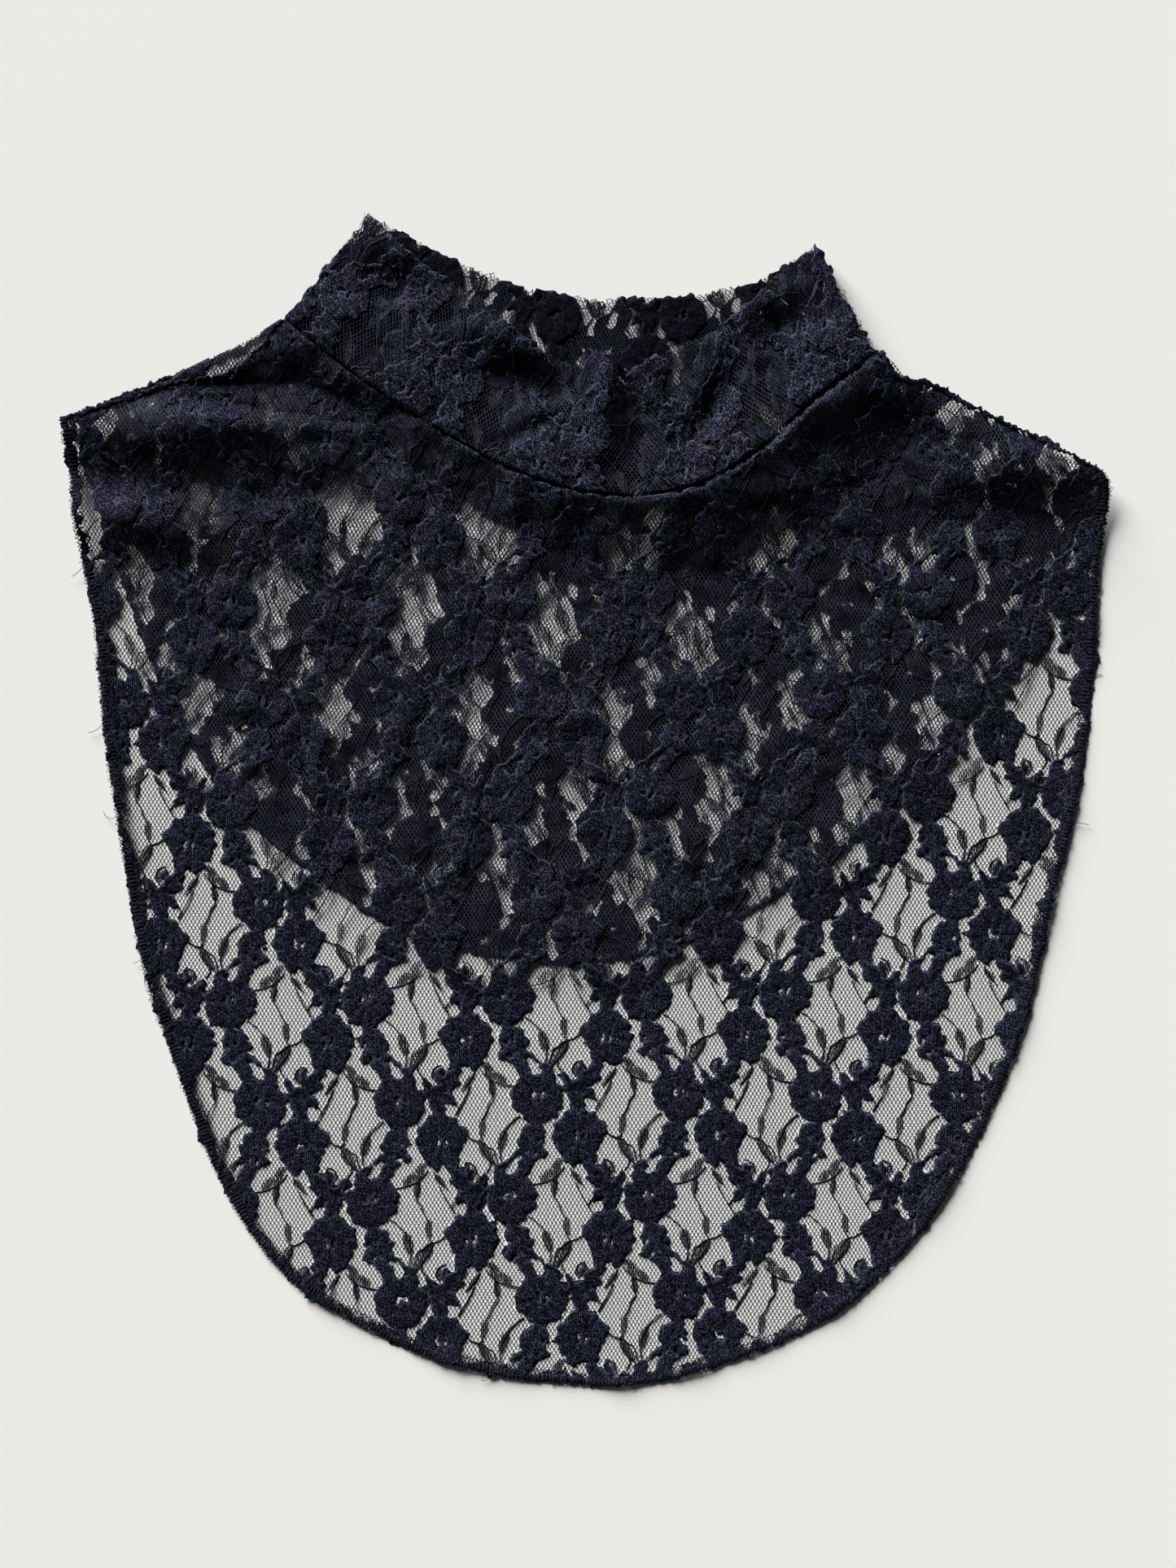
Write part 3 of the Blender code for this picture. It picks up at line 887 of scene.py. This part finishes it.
def sheer_leaves(cloth, material):
    """The ribs of the sheer leaves, each a flat thread from edge to edge."""
    ribs = []
    for leaf in SHEER_LEAVES:
        outline = leaf_outline(*leaf)
        low, high = outline.min(0), outline.max(0)
        for x in np.arange(low[0] + 0.3, high[0] - 0.1, RIB_SPACING):
            y = np.linspace(low[1], high[1], 40)
            inside = y[signed_distance(outline, np.full((1, 40), x), y[None])[0] > 0]
            if len(inside):
                ribs.append((x, inside[0], inside[-1]))
    middles, lows, highs = np.array(ribs).T
    y = np.linspace(lows, highs, RIB_POINTS, axis=-1)
    x = np.repeat(middles[:, None], RIB_POINTS, axis=1) + 0.06 * np.cos(y * 5.0)
    a, b = repeated(cloth, x, y)
    number = np.arange(a.size).reshape(a.shape) * 2
    low, high = number[:, :-1], number[:, 1:]
    faces = np.stack((low, low + 1, high + 1, high), -1).reshape(-1, 4)
    a = np.stack((a - RIB_WIDTH / 2, a + RIB_WIDTH / 2), -1).ravel()
    b = np.repeat(b.ravel(), 2)
    faces = faces[(cloth.room(a, b) > THREAD_MARGIN)[faces].all(1)]
    return mesh_piece(cloth.name + "_sheer", cloth, a, b, np.full(a.shape, RIB_HEIGHT), faces, material)


def dressed(cloth, spacing, lace, net_yarn, thread, cord):
    """A cloth's motifs, net, cords and sheer leaves."""
    pieces = [motifs(cloth, spacing, UNDER_SPACING, lace), net(cloth, net_yarn, thread)]
    return pieces + [cords(cloth, cord), sheer_leaves(cloth, cord)]


class Edge:
    """A strip along a line: its first measure runs along the line, its second inward from it."""

    def __init__(self, name, line, top, relief):
        self.name, self.top, self.relief, self.face = name, top, relief, 1.0
        self.points = curve(line, EDGE_POINT_STEP)
        self.length = EDGE_POINT_STEP * (len(self.points) - 1)
        along = np.gradient(self.points, axis=0)
        count = 2 * EDGE_SOFT + 1
        soft = np.ones(count) / count
        sides = [np.pad(part, EDGE_SOFT, mode="edge") for part in (-along[:, 1], along[:, 0])]
        inward = np.column_stack([np.convolve(side, soft, "valid") for side in sides])
        self.inward = inward / np.hypot(*inward.T)[:, None]

    def place(self, a, b, height):
        at = np.clip(a / EDGE_POINT_STEP, 0.0, len(self.points) - 1.0)
        index = np.arange(len(self.points))
        point, inward = along_line(at, index, self.points), along_line(at, index, self.inward)
        x, y = (point + np.maximum(b, EDGE_WITHIN)[..., None] * inward).T
        z = self.top(x, y) + self.relief(x, y) - PANEL_DEPTH + height
        return np.column_stack((point + b[..., None] * inward, np.maximum(z, LOWEST_EDGE)))


def uneven(rng, count, reach):
    """A smooth random run of about -1 to 1, with its changes spread over some places."""
    soft = np.hanning(2 * reach + 1)
    soft /= np.sqrt((soft**2).sum())
    return 0.6 * np.convolve(rng.normal(0.0, 1.0, count + 2 * reach), soft, "valid")


def edge_band(edge, rng, width, material):
    """The lumpy band of gathered cloth and thread at an edge."""
    a = np.arange(0.0, edge.length, EDGE_STEP)
    outer = BAND_OUTER + 0.60 * uneven(rng, len(a), 3) + 0.45 * uneven(rng, len(a), 9)
    outer += 0.30 * rng.normal(0.0, 1.0, len(a))
    inner = width * (1.0 + 0.5 * uneven(rng, len(a), 4)) + 0.3 * np.sin(a * 2 * math.pi / NEEDLE_PITCH)
    outer = np.minimum(outer, inner - BAND_LEAST)
    angle = 2 * math.pi * np.arange(BAND_SIDES) / BAND_SIDES
    middle, half = (outer + inner)[:, None] / 2, (inner - outer)[:, None] / 2
    thick = BAND_THICK * (1.0 + 0.45 * uneven(rng, len(a), 2))[:, None]
    b = middle + half * np.cos(angle)
    height = 0.1 + thick * np.sin(angle)
    number = np.arange(b.size).reshape(b.shape)
    near, far = number[:-1], number[1:]
    faces = np.stack((near, np.roll(near, -1, 1), np.roll(far, -1, 1), far), -1).reshape(-1, 4)
    a = np.repeat(a, BAND_SIDES)
    return mesh_piece(edge.name + "_band", edge, a, b.ravel(), height.ravel(), faces, material)


def edge_stitches(edge, rng, width, material):
    """Zigzag stitches over the band, and the wavy needle line at its inner side."""
    count = round(edge.length / STITCH_PITCH) * 6
    turn = np.arange(count) / 6 * 2 * math.pi
    swing = 0.5 - 0.5 * np.cos(turn)
    lean = 0.3 * np.sin(turn)
    a = np.arange(count) * STITCH_PITCH / 6 + lean + 0.12 * uneven(rng, count, 5)
    outer = BAND_OUTER - 0.35 + 0.25 * uneven(rng, count, 4)
    inner = width * (1.1 + 0.3 * uneven(rng, count, 30))
    b = outer + swing * (inner - outer)
    height = 0.15 + 0.62 * np.sin(np.clip(swing, 0.0, 1.0) * math.pi) ** 0.6
    zigzag = tubes(a[None], b[None], height[None], STITCH_RADIUS)
    count = round(edge.length / NEEDLE_PITCH) * 5
    a = np.arange(count) * NEEDLE_PITCH / 5
    b = width + 0.9 + 0.4 * np.sin(a * 2 * math.pi / NEEDLE_PITCH) + 0.2 * uneven(rng, count, 20)
    needle = tubes(a[None], b[None], NEEDLE_HEIGHT, STITCH_RADIUS)
    a, b, height = (np.concatenate(parts) for parts in zip(zigzag[:3], needle[:3]))
    faces = np.concatenate((zigzag[3], needle[3] + len(zigzag[0])))
    return mesh_piece(edge.name + "_stitches", edge, a, b, height, faces, material)


def loose_ends(edge, rng, material):
    """Short thread ends at an edge, and a few longer hairs."""
    short = round(edge.length / FRAY_SPACING)
    count = short + LONG_HAIRS
    start = rng.uniform(1.0, edge.length - 1.0, count)
    reach = np.concatenate((rng.uniform(0.6, 1.9, short), rng.uniform(3.0, 6.5, LONG_HAIRS)))
    drift_along = rng.normal(0.0, 0.8, count) * reach ** 0.9
    bend = rng.normal(0.0, 0.35, count) * reach
    part = np.linspace(0.0, 1.0, 6)
    a = start[:, None] + drift_along[:, None] * part + bend[:, None] * np.sin(math.pi * part)
    b = 0.4 - reach[:, None] * np.sin(part * 1.5)
    a, b, height, faces = tubes(a, b, 0.25 - 0.25 * part, HAIR_RADIUS)
    return mesh_piece(edge.name + "_ends", edge, a, b, height, faces, material)


def node_of(tree, kind, *inputs, **values):
    """A new shader node. Its inputs, in order or by name, are values or other nodes' outputs."""
    node = tree.nodes.new(kind)
    for key, value in values.items():
        if key not in node.inputs:
            setattr(node, key, value)
    named = [(key, value) for key, value in values.items() if key in node.inputs]
    for key, value in [*enumerate(inputs), *named]:
        if isinstance(value, bpy.types.NodeSocket):
            tree.links.new(value, node.inputs[key])
        elif value is not None:
            node.inputs[key].default_value = value
    return node


def ramp_of(tree, value, *stops):
    """A value's colour on a ramp through some positions and colours."""
    ramp = node_of(tree, "ShaderNodeValToRGB", value)
    elements = ramp.color_ramp.elements
    elements.remove(elements[1])
    elements[0].position = stops[0][0]
    elements[0].color = (*stops[0][1], 1.0)
    for position, colour in stops[1:]:
        elements.new(position).color = (*colour, 1.0)
    return ramp.outputs["Color"]


def mixed(tree, blend, share, first, second):
    """Two colours, mixed by a share in one of the mix node's ways. They are its inputs 6 and 7."""
    others = [None] * 5
    mix = node_of(tree, "ShaderNodeMix", share, *others, first, second, data_type="RGBA", blend_type=blend)
    return mix.outputs[2]


def new_material(name, roughness, gloss):
    """A material, its node tree, and its shader."""
    material = bpy.data.materials.new(name)
    material.use_nodes = True
    shader = material.node_tree.nodes["Principled BSDF"]
    shader.inputs["Roughness"].default_value = roughness
    shader.inputs["Specular IOR Level"].default_value = gloss
    return material, material.node_tree, shader


def lace_material(name, dark, middle, light):
    """Knitted yarn: squiggles, faint ribs, a slow change of hue, rims partly painted highlight, painted
    crease shade.
    """
    material, tree, shader = new_material(name, 0.6, 0.02)
    places = node_of(tree, "ShaderNodeUVMap", uv_map="cloth").outputs[0]
    grain = node_of(tree, "ShaderNodeVectorMath", places, YARN_GRAIN, operation="MULTIPLY").outputs[0]
    fibres = node_of(tree, "ShaderNodeTexNoise", grain, Scale=2.6, Detail=2.0, Roughness=0.6, Distortion=0.8)
    ribs = node_of(tree, "ShaderNodeTexWave", grain, Scale=0.45, Distortion=2.5, Detail=2.0)
    hue = node_of(tree, "ShaderNodeTexNoise", grain, Scale=0.09, Detail=1.0)
    fibres, ribs, hue = (texture.outputs["Fac"] for texture in (fibres, ribs, hue))
    relief = node_of(tree, "ShaderNodeMath", ribs, 0.10, fibres, operation="MULTIPLY_ADD").outputs[0]
    yarn = ramp_of(tree, relief, (0.44, dark), (0.58, middle), (0.73, light))
    hues = ramp_of(tree, hue, (0.4, (1.0, 0.86, 1.0)), (0.6, (0.86, 1.0, 0.98)))
    colour = mixed(tree, "MULTIPLY", 1.0, yarn, hues)
    tree.links.new(painted_rim_light_and_crease_shade(tree, colour, fibres, light), shader.inputs["Base Color"])
    bump = node_of(tree, "ShaderNodeBump", Height=relief, Strength=0.8, Distance=0.0003)
    tree.links.new(bump.outputs["Normal"], shader.inputs["Normal"])
    return material


def painted_rim_light_and_crease_shade(tree, colour, fibres, light):
    """Lighter rims inside outlines, part thread and part painted highlight, and painted shade in creases."""
    places = node_of(tree, "ShaderNodeUVMap", uv_map="rim").outputs[0]
    parts = node_of(tree, "ShaderNodeSeparateXYZ", places)
    none, most = (0.0, 0.0, 0.0), (0.75, 0.75, 0.75)
    # Painted highlight, partly the outline thread: the colour turns lighter just inside each motif's outline
    outline = ramp_of(tree, parts.outputs["X"], (0.04, none), (0.15, most), (0.30, most), (0.50, none))
    broken = node_of(tree, "ShaderNodeMath", outline, fibres, operation="MULTIPLY").outputs[0]
    lighter = mixed(tree, "MIX", broken, colour, (*light, 1.0))
    # Painted shade: the colour is darker where the motifs are creased, between petals and where outlines
    # meet
    return mixed(tree, "MULTIPLY", parts.outputs["Y"], lighter, (0.25, 0.25, 0.30, 1.0))


def thread_material(name, colour, gloss):
    """Plain thread, a little uneven in colour."""
    material, tree, shader = new_material(name, 0.5, gloss)
    places = node_of(tree, "ShaderNodeUVMap", uv_map="cloth").outputs[0]
    noise = node_of(tree, "ShaderNodeTexNoise", places, Scale=90.0, Detail=2.0).outputs["Fac"]
    dark, light = ([share * part for part in colour] for share in (0.3, 1.7))
    tree.links.new(ramp_of(tree, noise, (0.3, dark), (0.7, light)), shader.inputs["Base Color"])
    return material


def drift(a, b):
    """How far the cloth is pulled from its straight grain, across and up."""
    across = 0.8 * np.sin(b / 31.0 + 0.4) + 0.4 * np.sin((a + b) / 17.0)
    up = 0.7 * np.sin(a / 37.0 + 1.1) + 0.4 * np.sin((a - 2.0 * b) / 29.0) + 0.012 * a
    return across, up


def panel_cloth(name, outline, top, turn, sway, pattern_at, relief, depth=PANEL_DEPTH):
    """A panel's lace, with its grain turned by some degrees, laid below its solid's upper face."""
    distance = distance_field(outline)
    right, up = math.cos(math.radians(turn)), math.sin(math.radians(turn))

    def moved(a, b):
        across, along = drift(a, b)
        a, b = a + sway * across, b + sway * along
        return right * a - up * b, up * a + right * b

    def room(a, b):
        return distance(*moved(a, b))

    def place(a, b, height):
        x, y = moved(a, b)
        return np.stack((x, y, np.maximum(top(x, y) - depth + relief(x, y), LOWEST_NET) + height), -1)

    bounds = outline @ np.array(((right, -up), (up, right)))
    return Cloth(name, bounds.min(0) - 4.0, bounds.max(0) + 4.0, room, place, pattern_at)


def rounded_off(z, edge_z, from_edge, width):
    """Heights that turn down to an edge's height over a width beside it."""
    near = 1.0 - np.clip(from_edge / width, 0.0, 1.0)
    return edge_z + (z - edge_z) * np.sqrt(1.0 - 0.98 * near**2)


def collar_cloth(name, seam, top_edge, layers, layer, lifts, pattern_at):
    """One layer of half the collar: its cloth runs along the seam and up to the folded edge."""
    lower, upper = curve(seam, count=COLLAR_POINTS), curve(top_edge, count=COLLAR_POINTS)
    length = (np.hypot(*np.diff(lower, axis=0).T).sum() + np.hypot(*np.diff(upper, axis=0).T).sum()) / 2
    share = np.linspace(0.0, 1.0, COLLAR_POINTS)
    inset, side_bend = INNER_SIDE if name.endswith("inner") else OUTER_SIDE

    def room(a, b):
        return np.minimum(np.minimum(a, length - a) - inset, np.minimum(b, COLLAR_HEIGHT - b))

    def place(a, b, height):
        across, up = np.clip(a / length, 0.0, 1.0), np.clip(b / COLLAR_HEIGHT, 0.0, 1.0)[..., None]
        low = along_line(across, share, lower)
        xy = low + up * (along_line(across, share, upper) - low)
        x, y = xy.T
        levels = layers(x, y)
        roll = smooth_step(b / COLLAR_ROLL_AT) * (1.0 - smooth_step((b - COLLAR_ROLL_AT) / COLLAR_ROLL_FALL))
        folds = crease_heights(x, y, COLLAR_CREASES) + COLLAR_WAVES(a, b)
        lift = COLLAR_LIFT + COLLAR_LIFT_RIGHT * smooth_step(x / SEAM_TURN)
        z = np.maximum(levels[layer] + lifts * (folds + lift + COLLAR_ROLL * roll), LOWEST_NET + lifts)
        side, fold, fold_z = np.minimum(a, length - a), COLLAR_HEIGHT - b, sum(levels) / 2
        bump = smooth_step(1.0 - np.minimum(side, fold) / EDGE_BUMP_REACH)
        xy = xy + bump[..., None] * np.stack((EDGE_WAVES_X(a, b), EDGE_WAVES_Y(a, b)), -1)
        z = rounded_off(z, FOLD_LEVEL, side - inset, side_bend)
        z = rounded_off(z, fold_z, fold, FOLD_BEND)
        z = rounded_off(z, fold_z, b, SEAM_BEND)
        return np.column_stack((xy, z + height))

    return Cloth(name, (0.0, 0.0), (length, COLLAR_HEIGHT), room, place, pattern_at)


def look_down():
    """The camera, straight above, with the picture's frame at the table."""
    camera = placed("camera", bpy.data.cameras.new("camera"))
    tall = PICTURE[1] * PICTURE_MM_PER_PIXEL
    camera.data.sensor_fit = "VERTICAL"
    camera.data.sensor_height = 36.0
    camera.data.lens = 36.0 * CAMERA_HEIGHT / tall
    x = (PICTURE[0] / 2 - ORIGIN_PIXEL[0]) * PICTURE_MM_PER_PIXEL
    y = (ORIGIN_PIXEL[1] - PICTURE[1] / 2) * PICTURE_MM_PER_PIXEL
    camera.location = (x * MM, y * MM, CAMERA_HEIGHT * MM)
    camera.data.clip_start = 0.05
    camera.data.clip_end = 100.0
    bpy.context.scene.camera = camera


def floor():
    """A plain pale floor."""
    mesh = bpy.data.meshes.new("floor")
    reach = FLOOR_REACH
    corners = [(-reach, -reach, 0), (reach, -reach, 0), (reach, reach, 0), (-reach, reach, 0)]
    mesh.from_pydata(corners, [], [(0, 1, 2, 3)])
    plane = placed("floor", mesh)
    material, _, shader = new_material("floor", 0.9, 0.1)
    shader.inputs["Base Color"].default_value = FLOOR_COLOUR
    mesh.materials.append(material)


def light():
    """Soft daylight from beyond the collar and a little to the left, in a dim room with pale walls."""
    world = bpy.data.worlds.new("room")
    world.use_nodes = True
    tree = world.node_tree
    toward = node_of(tree, "ShaderNodeTexCoord").outputs["Generated"]
    parts = node_of(tree, "ShaderNodeSeparateXYZ", toward)
    walls = ramp_of(tree, parts.outputs["Z"], *WALLS)
    tree.links.new(walls, tree.nodes["Background"].inputs["Color"])
    bpy.context.scene.world = world
    sun = placed("window", bpy.data.lights.new("window", "SUN"))
    sun.data.energy = SUN_ENERGY
    sun.data.angle = math.radians(SUN_SPREAD)
    sun.data.color = (1.0, 0.995, 0.98)
    sun.rotation_mode = "QUATERNION"
    sun.rotation_quaternion = Vector(SUN_FROM).to_track_quat("Z", "Y")
    bpy.context.scene.view_settings.view_transform = "Standard"


look_down()
floor()
light()

CHART_DEPTH, CHART_CREASE = chart_lace()
LACE, COLLAR_PAINTED_LIGHT_LACE, PAINTED_SHADE_LACE, EDGING = (lace_material(*yarn) for yarn in YARNS)
NET, LIT_NET, PAINTED_LIGHT_COLLAR_NET, CORD, LIT_CORD, EDGE_THREAD = (thread_material(*thread) for thread in THREADS)

front_top, back_top = top_field("front_panel"), top_field("back_panel")
collar_front_top, collar_back_top = top_field("collar_front"), top_field("collar_back")

FRONT_WAVES = wave_sum(WRINKLE_SEED, WRINKLES)
COLLAR_WAVES = wave_sum(COLLAR_SEED, COLLAR_WRINKLES)
HEM_WAVES = wave_sum(WRINKLE_SEED + 1, HEM_CURLS)
EDGE_WAVES_X = wave_sum(COLLAR_SEED + 1, EDGE_BUMPS)
EDGE_WAVES_Y = wave_sum(COLLAR_SEED + 2, EDGE_BUMPS)

front_outline = closed_outline(FRONT_HEM, FRONT_SEAM, LEFT_WELT)
back_outline = closed_outline(BACK_HEM, BACK_SEAM, LEFT_SHOULDER_LINE)
on_back = distance_field(back_outline)
from_seam = distance_from_line(FRONT_SEAM)
from_hem = distance_from_line(FRONT_HEM)


def front_relief(x, y):
    """Creases, wrinkles and the seam's ridge, which are high where the front lies on the back."""
    doubled = smooth_step((on_back(x, y) + DOUBLED_BEYOND) / DOUBLED_WIDTH)
    away = from_seam(x, y)
    right, left = smooth_step(x / SEAM_TURN), smooth_step(-x / SEAM_TURN)
    reach = SEAM_FALL + SEAM_FALL_RIGHT * right + SEAM_FALL_LEFT * left
    left_over = 1.0 - np.clip((away - SEAM_RIDGE_AT) / reach, 0.0, 1.0)
    hold = SEAM_HOLD * (1.0 - 0.3 * right)
    rise = hold + (1.0 - hold) * smooth_step(away / SEAM_RIDGE_AT / (1.0 + 0.5 * right))
    crest = SEAM_RIDGE + SEAM_RIDGE_RIGHT * right + SEAM_RIDGE_LEFT * left
    ridge = crest * rise * left_over**SEAM_STEEPNESS
    sink = SEAM_SINK * (1.0 - smooth_step(away / SEAM_SINK_WIDTH))
    height = crease_heights(x, y, FRONT_CREASES) + ridge - sink
    height = height + FRONT_WAVES(x, y) * (SINGLE_WAVES + (1.0 - SINGLE_WAVES) * doubled)
    hem = HEM_LIFT * (1.0 - smooth_step(from_hem(x, y) / HEM_LIFT_WIDTH)) * (1.0 + 0.5 * HEM_WAVES(x, y))
    lowest = LOWEST_CREASE + LOWER_WHERE_DOUBLED * doubled
    return np.maximum(height, lowest) - SINGLE_SINK * (1.0 - doubled) + np.maximum(hem, 0.0)


def no_relief(x, y):
    """A cloth without creases."""
    return 0.0


front = panel_cloth("front", front_outline, front_top, 0.0, 1.0, (-26.0, -68.9), front_relief)
back = panel_cloth("back", back_outline, back_top, BACK_TURN, 0.0, BACK_PATTERN_AT, no_relief)

# The strip of the back that shows beyond the front's left shoulder is plain net
under_front = closed_outline(BACK_HEM, BACK_SEAM, LEFT_WELT)
back.motif_room = panel_cloth("back", under_front, back_top, BACK_TURN, 0.0, BACK_PATTERN_AT, no_relief).room

front_lace = motifs(front, 1.0, UNDER_SPACING, LACE)
front_net = net(front, NET, NET_THREAD, lies=lambda x, y: on_back(x, y) <= 0.0)
# Where the front lies on the back, its net is the lighter copy with painted light
doubled_net = net(front, LIT_NET, DOUBLED_THREAD, "_net_doubled", lambda x, y: on_back(x, y) > 0.0)
front_cords = cords(front, CORD)
front_sheer = sheer_leaves(front, CORD)
# The back's motifs take the lace darkened by painted shade, for the shade under the front
back_lace, back_net, *back_threads = dressed(back, 1.4, PAINTED_SHADE_LACE, NET, NET_THREAD, CORD)

# The nets' threads are too fine to shade what lies under them
for threads in (front_net, doubled_net, back_net):
    threads.visible_shadow = False

# Partly painted shade: this extra layer also darkens the shaded zone below the neck and the shoulders
tuck_and_shade_outline = np.vstack((curve(NECK_TUCK_AND_SHADE), curve(FRONT_SEAM)[::-1]))
tuck_and_shade = panel_cloth("neck_tuck_and_shade", tuck_and_shade_outline, front_top, 8.0, 0.0, (30.0, 30.0), front_relief, TUCK_AND_SHADE_DEPTH)
tuck_and_shade_pieces = [motifs(tuck_and_shade, 1.6, 2.8, LACE), net(tuck_and_shade, NET, NET_THREAD)]

front_hem = Edge("front_edge", FRONT_HEM, front_top, front_relief)
left_seam = Edge("left_shoulder_seam", LEFT_WELT[::-1], front_top, front_relief)
right_seam = Edge("right_shoulder_seam", RIGHT_SHOULDER_LINE, front_top, front_relief)
back_hem = Edge("back_edge", BACK_HEM, back_top, no_relief)
left_fold = Edge("left_shoulder_fold", LEFT_SHOULDER_LINE[::-1], back_top, no_relief)
front_draws = np.random.default_rng(EDGE_SEED)
front_edging = [
    edge_band(front_hem, front_draws, BAND_INNER, EDGING),
    edge_stitches(front_hem, front_draws, BAND_INNER, EDGE_THREAD),
    loose_ends(front_hem, front_draws, EDGE_THREAD),
]
back_edging = [edge_band(back_hem, np.random.default_rng(EDGE_SEED + 1), BACK_BAND_INNER, EDGING)]
for edge, edging in ((left_seam, front_edging), (right_seam, front_edging), (left_fold, back_edging)):
    edging.append(edge_band(edge, np.random.default_rng(EDGE_SEED + 2), SEAM_INNER, EDGING))


def front_layers(x, y):
    """Heights of the upper and the lower layer in the collar's front half."""
    top = collar_front_top(x, y)
    return top - COLLAR_OUTER_DEPTH, top - COLLAR_INNER_DEPTH


def back_layers(x, y):
    """Heights of the upper and the lower layer in the collar's back half."""
    return collar_back_top(x, y) - COLLAR_OUTER_DEPTH, BACK_OUTER_LEVEL


front_collar = (FRONT_SEAM, COLLAR_FRONT_TOP, front_layers)
back_collar = (BACK_SEAM, COLLAR_BACK_TOP, back_layers)

# Each layer of the collar: its name, its half and its place there, its share of the folds' height, where its
# pattern starts, the spacing of its points, the way it faces, and its yarns
# The collar's lace has painted light and shade, its back half's lace painted shade, and its lighter nets and
# cords painted light
collar_layers = (
    ("collar_front_outer", front_collar, 0, 1.0, (12.0, 20.0), 0.95, 1.0, COLLAR_PAINTED_LIGHT_LACE, PAINTED_LIGHT_COLLAR_NET, LIT_CORD),
    ("collar_front_inner", front_collar, 1, 0.8, (30.0, 51.0), 1.2, 1.0, COLLAR_PAINTED_LIGHT_LACE, NET, LIT_CORD),
    ("collar_back_inner", back_collar, 0, 0.0, (-11.0, 40.0), 1.2, 1.0, PAINTED_SHADE_LACE, PAINTED_LIGHT_COLLAR_NET, CORD),
    ("collar_back_outer", back_collar, 1, 0.0, (9.0, 30.0), 1.4, -1.0, PAINTED_SHADE_LACE, NET, CORD),
)
collar_pieces = []
for name, half, layer, lifts, pattern_at, spacing, face, lace, net_yarn, cord in collar_layers:
    cloth = collar_cloth(name, *half, layer, lifts, pattern_at)
    cloth.face = face
    collar_pieces.append(dressed(cloth, spacing, lace, net_yarn, FINE_THREAD, cord))
(front_outer, *front_others), front_inner, (back_inner, *back_others), back_outer = collar_pieces

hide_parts("front_panel")
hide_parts("back_panel")
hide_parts("collar_front")
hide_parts("collar_back")

front_others += front_inner
back_others += back_outer
